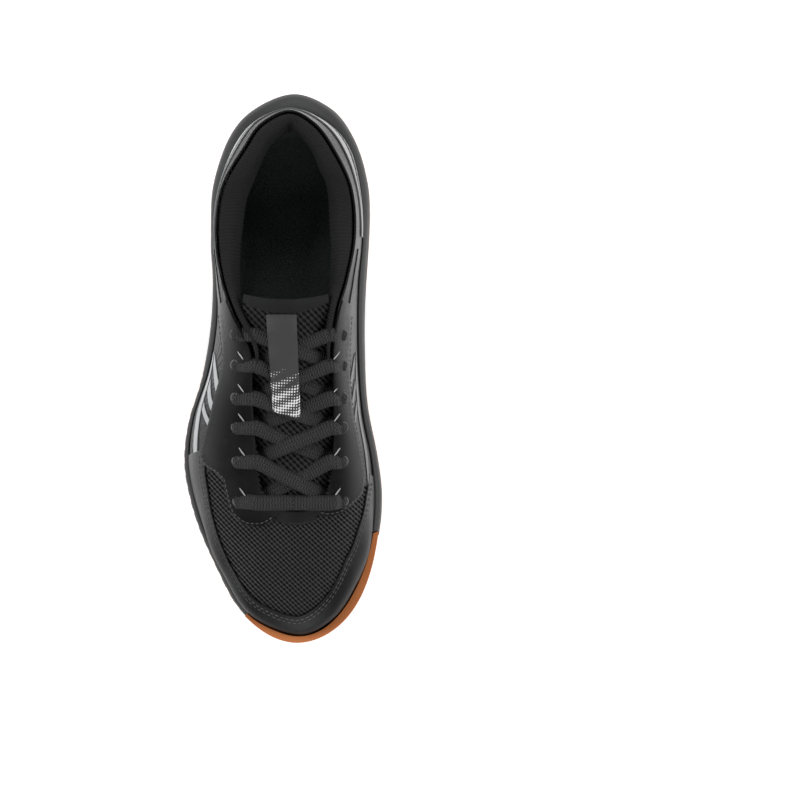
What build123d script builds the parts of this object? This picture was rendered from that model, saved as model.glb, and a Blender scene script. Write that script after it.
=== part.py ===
from build123d import *
from math import cos, hypot, radians, sin
import os

# Low-cut indoor court shoe, right foot.  Millimetres, +Z up, heel towards +Y, toe towards -Y,
# outer (lateral) side towards -X.  The origin is on the ground, in the middle of the sole.
#
# The upper is drawn as a fan of ribs, like the frames of a boat.  Each rib starts at the
# feather edge, where the upper meets the sole, and ends at the topline, where the shoe opens.
# Every layer of the upper is a loft through those ribs at its own depth below the outer skin.

# ---------------------------------------------------------------- driving dimensions
shoe_length = 290.0
shoe_width = 104.0
last_length = 290.0          # length that the stations below are drawn for
last_width = 104.0           # width that the stations below are drawn for

outsole_thickness = 3.5
toe_spring = 8.0             # lift of the outsole at the toe tip
spring_start = 85.0          # distance in front of the middle where the lift begins
heel_bed_height = 25.0       # top of the midsole under the heel
ball_bed_height = 15.5       # top of the midsole under the ball of the foot
rim_height = 6.0             # how far the midsole wall wraps up the upper
wrap_extra = 1.5             # how far the toe bumper stands above the midsole wall

collar_heel_height = 90.0
collar_ankle_height = 73.0
vamp_throat_height = 61.5    # height of the vamp where the throat opening starts

glue_line = 0.3              # gap kept between bonded layers
skin_thickness = 1.2         # quarters and vamp mesh
overlay_thickness = 0.8      # toe cap, facings, side trim
counter_thickness = 1.4      # heel stiffener
puff_thickness = 0.8         # toe stiffener
lining_thickness = 0.9
collar_padding = 10.0        # thickness of the padded roll at the sides
board_thickness = 1.5
insole_thickness = 4.0
gel_depth = 8.0              # depth of the heel cushion let into the midsole
shank_thickness = 2.0

tongue_skin = 1.0
tongue_padding = 4.0
tongue_crown = 8.0           # how much the tongue falls from its middle to its side edges
tongue_end_from = 21.5       # the free padded end of the tongue starts here
tongue_end_to = 37.0
label_half_width = 7.6
label_thickness = 0.8

lace_diameter = 1.8
eyelet_diameter = 4.6
lace_tip_length = 10.0
lace_tip_diameter = 2.4
flex_line = -81.0            # the forefoot bends along this line, behind the toe piece
flex_channel = 2.5           # width of the groove across the outsole at the flex line
heel_tread_front = 42.0      # front edge of the rubber under the heel
forefoot_tread_back = 2.0    # back edge of the rubber under the forefoot
bumper_start = (-32, -118)   # where the toe bumper begins on the outer side
bumper_clearance = 0.5       # room between the toe bumper and the end of the midsole wall
beyond = 160                 # a distance past the ends of the shoe, for cutting shapes
groove_depth = 1.2
groove_width = 1.6

half_length = shoe_length / 2
x_scale = shoe_width / last_width
y_scale = shoe_length / last_length
heel_scale = collar_heel_height / 90.0
ankle_scale = collar_ankle_height / 73.0
throat_scale = vamp_throat_height / 61.5

# ---------------------------------------------------------------- stations of the last
# rib: (feather x, feather y, topline x, topline y, topline height, sweep angle, arch share,
#       share of the collar padding)
# A small sweep angle gives an upright wall, 90 gives a full quarter arch.  The arch share is
# 1 for a pure arch, and less where the skin keeps rising towards the throat.
OUTER_RIBS = [
    (-12.5, 128.5, -8.7, 123.6, 89 * heel_scale, 40, 1.0, 0.95),
    (-24.5, 115.5, -17.5, 112.0, 86 * heel_scale, 45, 1.0, 1.0),
    (-32.5, 92, -29.5, 92, 79 * heel_scale, 45, 1.0, 1.1),
    (-35, 68, -33.0, 68, 73 * ankle_scale, 45, 1.0, 1.0),
    (-34, 45, -30.0, 45, 74 * ankle_scale, 50, 1.0, 0.8),
    (-34.5, 22, -23.5, 27, 83 * ankle_scale, 65, 1.0, 0.5),
    (-39, -2, -14, 7, 84 * throat_scale, 80, 0.9, 0),
    (-47, -26, -13.5, -14, 78 * throat_scale, 88, 0.85, 0),
    (-49.8, -48, -12.5, -34, 72 * throat_scale, 90, 0.8, 0),
    (-46.8, -68, -11.5, -52, 67 * throat_scale, 90, 0.75, 0),
    (-40.5, -88, -9.5, -64, 64 * throat_scale, 90, 0.7, 0),
    (-31.5, -107, -5, -70.5, 62.5 * throat_scale, 90, 0.65, 0),
    (-17.3, -130, 1, -73.5, 62 * throat_scale, 90, 0.62, 0),
]
INNER_RIBS = [
    (24, 127.5, 18.5, 124, 89 * heel_scale, 40, 1.0, 0.95),
    (35.5, 114, 28, 112, 86 * heel_scale, 45, 1.0, 1.0),
    (41, 91, 37.5, 92, 80 * heel_scale, 45, 1.0, 1.1),
    (42, 68, 39.5, 68, 75 * ankle_scale, 45, 1.0, 1.0),
    (40, 45, 35.5, 45, 76 * ankle_scale, 50, 1.0, 0.8),
    (39.5, 22, 30.5, 27, 84 * ankle_scale, 65, 1.0, 0.5),
    (40, -2, 28, 7, 84 * throat_scale, 80, 0.9, 0),
    (42, -25, 28, -14, 78 * throat_scale, 88, 0.85, 0),
    (46.5, -48, 28, -34, 72 * throat_scale, 90, 0.8, 0),
    (48.2, -70, 27, -52, 67 * throat_scale, 90, 0.75, 0),
    (46.2, -92, 25, -64, 64 * throat_scale, 90, 0.7, 0),
    (39.3, -113.5, 21, -70.5, 62.5 * throat_scale, 90, 0.65, 0),
    (26.5, -132.7, 15, -73.5, 62 * throat_scale, 90, 0.62, 0),
]
HEEL_RIB = (5.7, 134, 5.7, 130.2, 90 * heel_scale, 40, 1.0, 0.85)
TOE_RIB = (8, -140.8, 8, -74.5, 61.5 * throat_scale, 90, 0.6, 0)

SOLE_OUTLINE = [
    (5.7, 145), (-15, 137), (-28, 122.5), (-36.5, 98), (-38, 75), (-37, 45), (-38.5, 20),
    (-43, -5), (-50.5, -30), (-52, -50), (-46.5, -77), (-36, -105), (-20, -131), (8, -145),
    (30.5, -135.5), (44, -115), (50.5, -88), (52, -67), (49.5, -46), (44.5, -20), (43, 5),
    (43, 35), (45.5, 80), (43.5, 103), (36.5, 123), (25, 137.5),
]

# throat centre line and lace rows
LACE_ROWS = [-69.3, -48.4, -30.8, -15.8, 0.9, 16.5]
outer_eyelet_x = -21.5
inner_eyelet_x = 33.5
TONGUE_STATIONS = [          # (y, height of the tongue's middle, its x, its half width)
    (-70, 62, 8, 20), (-50, 68, 7.5, 22), (-20, 77, 7, 22.5), (10, 85.5, 6, 22.5),
    (20, 88.5, 4.5, 20.5), (37, 95.5, 3.5, 19),
]


def place(x, y):
    """A station drawn on the reference last, carried to this shoe's length and width."""
    return (x * x_scale, y * y_scale)


def spring(y):
    """Lift of the sole in front of the ball."""
    ahead = max(0.0, -spring_start * y_scale - y)
    run = (last_length / 2 - spring_start) * y_scale
    return toe_spring * (ahead / run) ** 2


def bed(y):
    """Height of the midsole's top, falling from the heel to the ball, with the toe lift."""
    start = 60.0 * y_scale
    share = min(1.0, max(0.0, (start - y) / (2 * start)))
    fall = (1 - cos(radians(180 * share))) / 2
    return heel_bed_height + (ball_bed_height - heel_bed_height) * fall + spring(y)


class Rib:
    """One rib of the upper, in its own upright plane from the feather edge to the topline."""

    def __init__(self, station):
        fx, fy, tx, ty, top, sweep, self.arch, self.padding = station
        (fx, fy), (tx, ty) = place(fx, fy), place(tx, ty)
        self.reach = hypot(tx - fx, ty - fy)
        self.foot = bed(fy) + glue_line
        self.rise = top - self.foot
        self.angle = radians(sweep)
        dx, dy = (tx - fx) / self.reach, (ty - fy) / self.reach
        self.plane = Plane(origin=(fx, fy, self.foot), x_dir=(dx, dy, 0), z_dir=(dy, -dx, 0))
        self.feather = (fx, fy)
        self.topline = (tx, ty, top)

    def at(self, t, depth):
        """Point at share t of the way up the rib, this deep below the outer skin."""
        a = self.angle
        flat = (1 - cos(a * t)) / (1 - cos(a))
        steep = sin(a * t) / sin(a)
        out = self.reach * flat
        up = self.rise * (self.arch * steep + (1 - self.arch) * flat)
        d_out = self.reach * sin(a * t) / (1 - cos(a))
        d_up = self.rise * (self.arch * cos(a * t) / sin(a)
                            + (1 - self.arch) * sin(a * t) / (1 - cos(a)))
        length = hypot(d_out, d_up)
        return (out + depth * d_up / length, up - depth * d_out / length)


# The stations in a ring: 0 at the heel, 1 to 13 down the outer side, 14 at the toe, 15 to 27
# back up the inner side.  Places between two stations are read off a smooth curve.
RING = [HEEL_RIB] + OUTER_RIBS + [TOE_RIB] + INNER_RIBS[::-1]
TOE = len(OUTER_RIBS) + 1
ribs_per_gap = 3


def mix_stations(place_on_ring):
    """The station at any place on the ring, whole or between two of them."""
    index = int(place_on_ring // 1)
    share = place_on_ring - index
    rows = [RING[(index + step) % len(RING)] for step in (-1, 0, 1, 2)]
    mixed = []
    for p0, p1, p2, p3 in zip(*rows):
        slope_in, slope_out = (p2 - p0) / 2, (p3 - p1) / 2
        mixed.append(p1 + slope_in * share
                     + (3 * (p2 - p1) - 2 * slope_in - slope_out) * share ** 2
                     + (2 * (p1 - p2) + slope_in + slope_out) * share ** 3)
    return mixed


def rib_at(place_on_ring):
    """The rib at any place on the ring."""
    return Rib(mix_stations(place_on_ring))


def ring_places(first, last):
    """Evenly spaced places on the ring, from first to last."""
    count = round((last - first) * ribs_per_gap)
    return [first + (last - first) * i / count for i in range(count + 1)]


def read_off(values, first, at):
    """Read a list of values, one for each station from first on, between the stations."""
    index = min(int((at - first) // 1), len(values) - 2)
    share = at - first - index
    return values[index] * (1 - share) + values[index + 1] * share


def band(first, last, top, bottom, start, end):
    """Sections of one layer between two places on the ring.  start and end are shares of the
    way up each rib, either single values or lists with one value for each station."""
    sections = []
    for at in ring_places(first, last):
        low = read_off(start, first, at) if isinstance(start, list) else start
        high = read_off(end, first, at) if isinstance(end, list) else end
        sections.append(strip(rib_at(at), top, bottom, low, high))
    return sections


def strip(rib, top, bottom, start, end, steps=8):
    """Section of one layer on one rib: between two depths, from share start to share end."""
    shares = [start + (end - start) * i / steps for i in range(steps + 1)]
    with BuildSketch(rib.plane) as section:
        with BuildLine():
            outside = Spline(*[rib.at(t, top) for t in shares])
            inside = Spline(*[rib.at(t, bottom) for t in shares])
            Line(outside @ 0, inside @ 0)
            Line(outside @ 1, inside @ 1)
        make_face()
    return section.sketch


def closed_outline(stations, grow=0.0):
    """Closed plan outline through the given stations, each moved outwards by grow."""
    points = [place(x, y) for x, y in stations]
    moved = []
    for before, (x, y), after in zip(points[-1:] + points, points, points[1:] + points[:1]):
        run_x, run_y = after[0] - before[0], after[1] - before[1]
        run = hypot(run_x, run_y)
        moved.append((x + grow * run_y / run, y - grow * run_x / run))
    with BuildSketch(Plane.XY.offset(-5)) as plan:
        with BuildLine():
            Spline(*moved, periodic=True)
        make_face()
    return plan.sketch


FEATHER_OUTLINE = [mix_stations(step / 2)[:2] for step in range(2 * len(RING))]
bend_y = -spring_start * y_scale
REAR_STATIONS = [bend_y + (1.05 * half_length - bend_y) * share for share in
                 (0, 0.1, 0.25, 0.4, 0.55, 0.7, 0.85, 1)]
FRONT_STATIONS = [bend_y - (1.05 * half_length + bend_y) * share for share in (0, 0.35, 0.7, 1)]


def side_band(lower, upper):
    """Side view of a layer of the sole, between two height curves, over the whole length."""
    with BuildSketch(Plane.YZ.offset(-shoe_width)) as band:
        with BuildLine():
            ends = []
            for height in (lower, upper):
                front = [(y, height(y)) for y in FRONT_STATIONS]
                rear = [(y, height(y)) for y in reversed(REAR_STATIONS)]
                if rear[0][1] == rear[-1][1]:
                    level = Line(rear[0], rear[-1])
                    rise = Spline(*front, tangents=[(-1, 0), (-1, toe_spring / 30)])
                    ends.append((level @ 0, rise @ 1))
                else:
                    whole = Spline(*rear, *front[1:])
                    ends.append((whole @ 0, whole @ 1))
            Line(ends[0][0], ends[1][0])
            Line(ends[0][1], ends[1][1])
        make_face()
    return band.sketch


def sole_layer(outline, lower, upper):
    """A layer of the sole: a plan outline cut to the band between two height curves."""
    with BuildPart() as layer:
        extrude(outline, amount=65)
        extrude(side_band(lower, upper), amount=2 * shoe_width, mode=Mode.INTERSECT)
    return layer.part


def keep_between(y_from, y_to):
    """Keep only the stretch of the current part between two places along the shoe."""
    with BuildSketch(Plane.XY.offset(-10)) as stretch:
        with Locations((0, (y_from + y_to) / 2)):
            Rectangle(3 * shoe_width, y_to - y_from)
    extrude(stretch.sketch, amount=200, mode=Mode.INTERSECT)


def chevron_grooves(rows, pitch, middle, span):
    """Herringbone grooves in the underside of the outsole."""
    with BuildSketch(Plane.XY.offset(-1)) as grooves:
        for row in range(rows):
            for side in (-1, 1):
                with Locations(Location((side * span / 2, middle + (row - rows / 2) * pitch, 0),
                                        (0, 0, side * 25))):
                    Rectangle(span * 0.98, groove_width)
    extrude(grooves.sketch, amount=1 + groove_depth, mode=Mode.SUBTRACT)


def outsole_top(y):
    """Height of the rubber's upper face."""
    return spring(y) + outsole_thickness


def rim(y):
    """Height of the midsole wall's top edge."""
    return bed(y) + rim_height


def front_wedge(clearance):
    """Plan shape in front of the toe bumper's two ends, moved back by a clearance."""
    x, y = bumper_start
    with BuildSketch(Plane.XY.offset(-10)) as wedge:
        with BuildLine():
            Polyline(place(x - clearance, y + clearance), place(60, flex_line - 2 + clearance),
                     place(60, -beyond), place(x - clearance, -beyond), close=True)
        make_face()
    return wedge.sketch


sole_plan = closed_outline(SOLE_OUTLINE)
pocket_plan = closed_outline(FEATHER_OUTLINE, grow=2 * glue_line)
bumper_plan = closed_outline(FEATHER_OUTLINE, grow=3 * glue_line)
inner_plan = closed_outline(FEATHER_OUTLINE, grow=-(skin_thickness + counter_thickness
                                                    + lining_thickness + 6 * glue_line))

# ---------------------------------------------------------------- outsole
heel_front = heel_tread_front * y_scale
forefoot_back = forefoot_tread_back * y_scale

with BuildPart() as outsole_heel:
    add(sole_layer(sole_plan, spring, outsole_top))
    keep_between(heel_front, beyond * y_scale)
    chevron_grooves(9, 9.0 * y_scale, 94 * y_scale, 26 * x_scale)
outsole_heel.part.label = "outsole_heel"

with BuildPart() as outsole_forefoot:
    add(sole_layer(sole_plan, spring, outsole_top))
    keep_between(flex_line * y_scale + flex_channel / 2, forefoot_back)
    chevron_grooves(8, 9.0 * y_scale, -36 * y_scale, 34 * x_scale)
outsole_forefoot.part.label = "outsole_forefoot"

# The toe piece curls up as a bumper round the tip and along the inner side.
with BuildPart() as bumper:
    add(sole_layer(sole_plan, spring, lambda y: rim(y) + wrap_extra))
    extrude(bumper_plan, amount=60, mode=Mode.SUBTRACT)
    extrude(front_wedge(0), amount=200, mode=Mode.INTERSECT)

with BuildPart() as outsole_toe:
    add(sole_layer(sole_plan, spring, outsole_top))
    keep_between(-beyond * y_scale, flex_line * y_scale - flex_channel / 2)
    chevron_grooves(3, 10.0 * y_scale, -102 * y_scale, 22 * x_scale)
    add(bumper.part)
outsole_toe.part.label = "outsole_toe"

with BuildPart() as midfoot_shank:
    add(sole_layer(closed_outline(SOLE_OUTLINE, grow=-5), lambda y: outsole_top(y) - shank_thickness,
                   outsole_top))
    keep_between(forefoot_back + 1, heel_front - 1)
midfoot_shank.part.label = "midfoot_shank"

# ---------------------------------------------------------------- midsole and heel cushion
gel_plane = Plane.XY.offset(heel_bed_height - gel_depth)
gel_middle = place(5, 96)
gel_size = (24 * x_scale, 30 * y_scale)

with BuildPart() as bumper_room:
    add(sole_layer(closed_outline(SOLE_OUTLINE, grow=2), lambda y: -1, lambda y: rim(y) + 9))
    extrude(pocket_plan, amount=80, mode=Mode.SUBTRACT)
    extrude(front_wedge(bumper_clearance), amount=200, mode=Mode.INTERSECT)

with BuildPart() as midsole:
    add(sole_layer(sole_plan, lambda y: outsole_top(y) + glue_line, rim))
    add(sole_layer(pocket_plan, bed, lambda y: rim(y) + 10), mode=Mode.SUBTRACT)
    add(bumper_room.part, mode=Mode.SUBTRACT)
    with BuildSketch(gel_plane):
        with Locations(gel_middle):
            Ellipse(gel_size[0], gel_size[1])
    extrude(amount=gel_depth + 20, mode=Mode.SUBTRACT)
midsole.part.label = "midsole"

with BuildPart() as heel_gel_pad:
    with BuildSketch(gel_plane.offset(glue_line)):
        with Locations(gel_middle):
            Ellipse(gel_size[0] - glue_line, gel_size[1] - glue_line)
    extrude(amount=gel_depth - 2 * glue_line)
heel_gel_pad.part.label = "heel_gel_pad"

# ---------------------------------------------------------------- board and insole
with BuildPart() as strobel_board:
    add(sole_layer(inner_plan, lambda y: bed(y) + glue_line,
                   lambda y: bed(y) + glue_line + board_thickness))
strobel_board.part.label = "strobel_board"

insole_bottom = 2 * glue_line + board_thickness
with BuildPart() as insole:
    add(sole_layer(inner_plan, lambda y: bed(y) + insole_bottom,
                   lambda y: bed(y) + insole_bottom + insole_thickness))
insole.part.label = "insole"

# ---------------------------------------------------------------- upper, outer layers
vamp_from, vamp_to = TOE - 4, TOE + 4      # the quarters meet the vamp at these ribs
full_turn = len(RING)

with BuildPart() as quarter_lateral:
    loft(sections=band(0, vamp_from, 0, skin_thickness, 0, 1), ruled=True)
with BuildPart() as quarter_medial:
    loft(sections=band(vamp_to, full_turn, 0, skin_thickness, 0, 1), ruled=True)
with BuildPart() as vamp_mesh:
    loft(sections=band(vamp_from, vamp_to, 0, skin_thickness, 0, 1), ruled=True)

# Toe cap and mudguard: a band above the sole wall, lower at the sides than over the toe.
overlay_top = -(glue_line + overlay_thickness)
mudguard_start = 0.18
mudguard_ends = [0.46, 0.40, 0.34, 0.36, 0.36, 0.44, 0.52, 0.50, 0.40]
with BuildPart() as toe_cap:
    loft(sections=band(vamp_from, vamp_to, overlay_top, -glue_line, mudguard_start, mudguard_ends),
         ruled=True)
toe_cap.part.label = "toe_cap"

# ---------------------------------------------------------------- facings with eyelets
facing_start = 0.62


def edge_height(y):
    """Height of the throat edge at this place along the shoe, read between the ribs."""
    edges = sorted(rib_at(at).topline[1:] for at in ring_places(6, TOE))
    for (y0, z0), (y1, z1) in zip(edges, edges[1:]):
        if y <= y1:
            break
    return z0 + (z1 - z0) * (y - y0) / (y1 - y0)


def eyelet_centres(x):
    """Eyelet of every lace row, on one side of the throat."""
    return [place(x, y) for y in LACE_ROWS]


def facing(first, last):
    """Reinforced band along one side of the throat."""
    loft(sections=band(first, last, overlay_top, -glue_line, facing_start, 1), ruled=True)


def eyelet_holes(x):
    """Punch the row of eyelets straight down through the current part."""
    with BuildSketch(Plane.XY.offset(30)) as holes:
        with Locations(*eyelet_centres(x)):
            Circle(eyelet_diameter / 2)
    extrude(holes.sketch, amount=90, mode=Mode.SUBTRACT)


with BuildPart() as eyestay_lateral:
    facing(6, 12)
    eyelet_holes(outer_eyelet_x)
eyestay_lateral.part.label = "eyestay_lateral"

with BuildPart() as eyestay_medial:
    facing(full_turn - 12, full_turn - 6)
    eyelet_holes(inner_eyelet_x)
eyestay_medial.part.label = "eyestay_medial"

with quarter_lateral:
    eyelet_holes(outer_eyelet_x)
quarter_lateral.part.label = "quarter_lateral"
with quarter_medial:
    eyelet_holes(inner_eyelet_x)
quarter_medial.part.label = "quarter_medial"
with vamp_mesh:
    eyelet_holes(outer_eyelet_x)
    eyelet_holes(inner_eyelet_x)
vamp_mesh.part.label = "vamp_mesh"

# ---------------------------------------------------------------- heel film and side trim
film_start = 0.17
film_end = 0.66
window_starts = (0.8, -2.6)  # places on the ring where the two windows begin
window_run = 1.8
window_low, window_high = 0.34, 0.48
piping_low, piping_high = 0.70, 0.76
with BuildPart() as heel_film:
    loft(sections=band(-4, 4, overlay_top, -glue_line, film_start, film_end), ruled=True)
    for first in window_starts:
        loft(sections=band(first, first + window_run, overlay_top - 1, 0.2, window_low, window_high),
             ruled=True, mode=Mode.SUBTRACT)
heel_film.part.label = "heel_film"

trim_top = -(glue_line + 0.5)
with BuildPart() as heel_piping:
    loft(sections=band(2, 4, overlay_top, -glue_line, piping_low, piping_high), ruled=True)
heel_piping.part.label = "heel_piping"

blade_low = [0.22, 0.22, 0.24, 0.27]
blade_high = [0.27, 0.33, 0.36, 0.29]
patch_low = [0.42, 0.46]
patch_high = [0.52, 0.56]


def side_trim(first, backwards):
    """A long low blade and a slanted patch above it, on one side of the shoe."""
    order = -1 if backwards else 1
    loft(sections=band(first, first + 3, trim_top, -glue_line, blade_low[::order],
                       blade_high[::order]), ruled=True)
    loft(sections=band(first + 1, first + 2, trim_top, -glue_line, patch_low[::order],
                       patch_high[::order]), ruled=True)


with BuildPart() as side_trim_lateral:
    side_trim(7, False)
side_trim_lateral.part.label = "side_trim_lateral"
with BuildPart() as side_trim_medial:
    side_trim(full_turn - 10, True)
side_trim_medial.part.label = "side_trim_medial"

# ---------------------------------------------------------------- stiffeners and linings
counter_depth = skin_thickness + glue_line
with BuildPart() as heel_counter:
    loft(sections=band(-4, 4, counter_depth, counter_depth + counter_thickness, 0.03, 0.58),
         ruled=True)
heel_counter.part.label = "heel_counter"

with BuildPart() as toe_puff:
    loft(sections=band(TOE - 2, TOE + 2, counter_depth, counter_depth + puff_thickness, 0.04, 0.42),
         ruled=True)
toe_puff.part.label = "toe_puff"

lining_depth = counter_depth + puff_thickness + glue_line
with BuildPart() as vamp_lining:
    loft(sections=band(vamp_from, vamp_to, lining_depth, lining_depth + lining_thickness, 0.04, 0.64),
         ruled=True)
vamp_lining.part.label = "vamp_lining"

collar_depth = counter_depth + counter_thickness + glue_line
roll_crown = 2.2             # how far the padded roll stands above the topline
tuck = 1.5                   # how far the lining's edge tucks below the topline
PADDED_SHARES = [0.05, 0.2, 0.35, 0.5, 0.62, 0.74, 0.86]
PADDED_SWELL = [0, 0, 0, 0.12, 0.42, 0.74, 0.9]      # share of the padding at each height


def collar_path(rib, inset):
    """Section of the collar lining, from the footbed up and over the padded roll."""
    pad = collar_padding * rib.padding
    start = skin_thickness + glue_line
    depth = collar_depth + lining_thickness - inset
    wall = [rib.at(t, depth + pad * swell)
            for t, swell in zip(PADDED_SHARES, PADDED_SWELL)]
    top = (rib.reach + start + 0.55 * pad, rib.rise + roll_crown - inset)
    return wall + [top, (rib.reach + start + inset, rib.rise - tuck)]


def collar_section(rib):
    """Section of the lining that covers the padded roll, on one rib."""
    with BuildSketch(rib.plane) as section:
        with BuildLine():
            face_side = Spline(*collar_path(rib, 0))
            foam_side = Spline(*collar_path(rib, lining_thickness))
            Line(face_side @ 0, foam_side @ 0)
            Line(face_side @ 1, foam_side @ 1)
        make_face()
    return section.sketch


def padding_section(rib):
    """Section of the foam between the wall of the upper and the collar lining."""
    pad = collar_padding * rib.padding
    wall = skin_thickness + 2 * glue_line
    back = collar_depth - 2 * glue_line
    crest = (rib.reach + wall + 0.55 * pad, rib.rise + roll_crown - lining_thickness - 3 * glue_line)
    with BuildSketch(rib.plane) as section:
        with BuildLine():
            lining_side = Spline(rib.at(0.68, back + 0.42 * pad), rib.at(0.77, back + 0.65 * pad),
                                 rib.at(0.86, back + 0.78 * pad), crest,
                                 (rib.reach + wall + 1.6, rib.rise - tuck))
            wall_side = Spline(rib.at(0.68, wall), rib.at(0.8, wall), rib.at(0.94, wall))
            Line(lining_side @ 0, wall_side @ 0)
            Line(lining_side @ 1, wall_side @ 1)
        make_face()
    return section.sketch


collar_ribs = [rib_at(at) for at in ring_places(-6, 6)]
with BuildPart() as collar_lining:
    loft(sections=[collar_section(rib) for rib in collar_ribs], ruled=True)
collar_lining.part.label = "collar_lining"
with BuildPart() as collar_foam:
    loft(sections=[padding_section(rib) for rib in collar_ribs], ruled=True)
collar_foam.part.label = "collar_foam"

# ---------------------------------------------------------------- tongue
def tongue_station(y):
    """Height, middle and half width of the tongue at a place along the shoe."""
    stations = [(sy * y_scale, sz * throat_scale, sx * x_scale, half * x_scale)
                for sy, sz, sx, half in TONGUE_STATIONS]
    for low, high in zip(stations, stations[1:]):
        if y <= high[0]:
            break
    share = (y - low[0]) / (high[0] - low[0])
    return tuple(a + (b - a) * share for a, b in zip(low[1:], high[1:]))


def tongue_section(y, top, bottom, half, crown):
    """Arched slab across the tongue, between two depths below its face."""
    z, middle, _ = tongue_station(y)
    with BuildSketch(Plane.XZ.offset(-y)) as section:
        with BuildLine():
            upper = ThreePointArc((middle - half, z - top - crown), (middle, z - top),
                                  (middle + half, z - top - crown))
            lower = ThreePointArc((middle - half, z - bottom - crown), (middle, z - bottom),
                                  (middle + half, z - bottom - crown))
            Line(upper @ 0, lower @ 0)
            Line(upper @ 1, lower @ 1)
        make_face()
    return section.sketch


def tongue_layer(top, bottom, side_inset=0.0):
    """Layer of the tongue up to its free end, between two depths below its face."""
    sections = []
    for station in TONGUE_STATIONS[:-1]:
        y = station[0] * y_scale
        full = tongue_station(y)[2]
        half = full - side_inset
        sections.append(tongue_section(y, top, bottom, half, tongue_crown * (half / full) ** 2))
    loft(sections=sections)


foam_top = tongue_skin + glue_line
foam_bottom = foam_top + tongue_padding
with BuildPart() as tongue_mesh:
    tongue_layer(0, tongue_skin)
tongue_mesh.part.label = "tongue_mesh"
with BuildPart() as tongue_foam:
    tongue_layer(foam_top, foam_bottom, side_inset=2)
tongue_foam.part.label = "tongue_foam"
with BuildPart() as tongue_lining:
    tongue_layer(foam_bottom + glue_line, foam_bottom + glue_line + lining_thickness)
tongue_lining.part.label = "tongue_lining"

# The free upper end of the tongue is one padded piece with its lining folded over the top.
tongue_end_start = tongue_end_from * y_scale
tongue_end_stop = tongue_end_to * y_scale
tongue_end_depth = foam_bottom + glue_line + lining_thickness
with BuildPart() as tongue_top:
    for share, thin in ((0, 0.0), (0.5, -1.0), (0.85, -0.2), (1.0, 2.0)):
        y = tongue_end_start + share * (tongue_end_stop - tongue_end_start)
        add(tongue_section(y, thin, tongue_end_depth - thin,
                           tongue_station(y)[2] - 1 - 2 * share, tongue_crown))
    loft()
tongue_top.part.label = "tongue_top"

# The label strip runs down the middle of the tongue and keeps the laces under it.
lace_rest = 1.2              # clearance between the lace and the tongue, and under the label
lace_room = 2 * lace_diameter + glue_line + 2 * lace_rest
LABEL_LIFT = [(19.5, glue_line), (16.5, 0.8 * lace_room), (12, lace_room), (0, lace_room),
              (-12, lace_room), (-25, lace_room)]
with BuildPart() as tongue_label:
    for y, lift in LABEL_LIFT:
        add(tongue_section(y * y_scale, -(lift + label_thickness), -lift,
                           label_half_width * x_scale, tongue_crown * 0.1))
    loft()
tongue_label.part.label = "tongue_label"

# ---------------------------------------------------------------- lace
# One lace.  It lies across the lowest row, goes down through both eyelets, and each end then
# crosses over the tongue to the next row on the other side, over the facing and down again.
lace_radius = lace_diameter / 2
over_lift = overlay_thickness + glue_line + lace_radius + 1.5
under_drop = skin_thickness + lace_radius + 0.7
throat_half = 20.0 * x_scale
throat_middle_x = 7.0 * x_scale
strand_gap = lace_diameter + glue_line   # height between two strands where they cross
shoulder = 9.0 * x_scale                 # a strand rests on the tongue this far off the middle


def skin_height(x, y):
    """Height of the outer skin above a point of the plan, from the nearest point of a rib."""
    nearest, height = 1e9, 0.0
    for step in range(6 * 12, (len(RING) - 6) * 12):
        rib = rib_at(step / 12)
        for share in range(20, 41):
            out, up = rib.at(share / 40, 0)
            spot = rib.plane.from_local_coords((out, up, 0))
            miss = hypot(spot.X - x, spot.Y - y)
            if miss < nearest:
                nearest, height = miss, spot.Z
    return height


def tongue_surface(x, y):
    """Height of the tongue's face above a point of the plan."""
    z, middle, half = tongue_station(y)
    return z - tongue_crown * ((x - middle) / half) ** 2


def half_lace(first_side):
    """Points of one half of the lace, from the middle of the lowest row to its tucked end."""
    points = []
    side = first_side
    for row, drawn_y in enumerate(LACE_ROWS):
        y = drawn_y * y_scale
        eyelet_x = (outer_eyelet_x if side < 0 else inner_eyelet_x) * x_scale
        edge_x = throat_middle_x + side * (throat_half - 1)
        edge_z = edge_height(y)
        hole_z = skin_height(eyelet_x, y)
        points.append((edge_x, y, edge_z + over_lift))
        points.append((eyelet_x, y + 0.3, hole_z + over_lift))
        points.append((eyelet_x, y + 0.6, hole_z - under_drop))
        if drawn_y == LACE_ROWS[-1]:
            points.append((eyelet_x - 3 * side, y + 4, hole_z - under_drop - 14))
            break
        points.append((edge_x - 2 * side, y + 2, edge_z - under_drop - 0.6))
        climb = LACE_ROWS[row + 1] * y_scale - y
        upper = (row + (first_side > 0)) % 2
        lift = lace_radius + lace_rest + strand_gap * upper
        for across, along in ((side, 0.35), (-side, 0.65)):
            x, strand_y = throat_middle_x + across * shoulder, y + climb * along
            points.append((x, strand_y, tongue_surface(x, strand_y) + lift))
        side = -side
    return points


outer_half = half_lace(-1)
inner_half = half_lace(1)
route = list(reversed(outer_half)) + inner_half
largest_bend = 40.0


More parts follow.
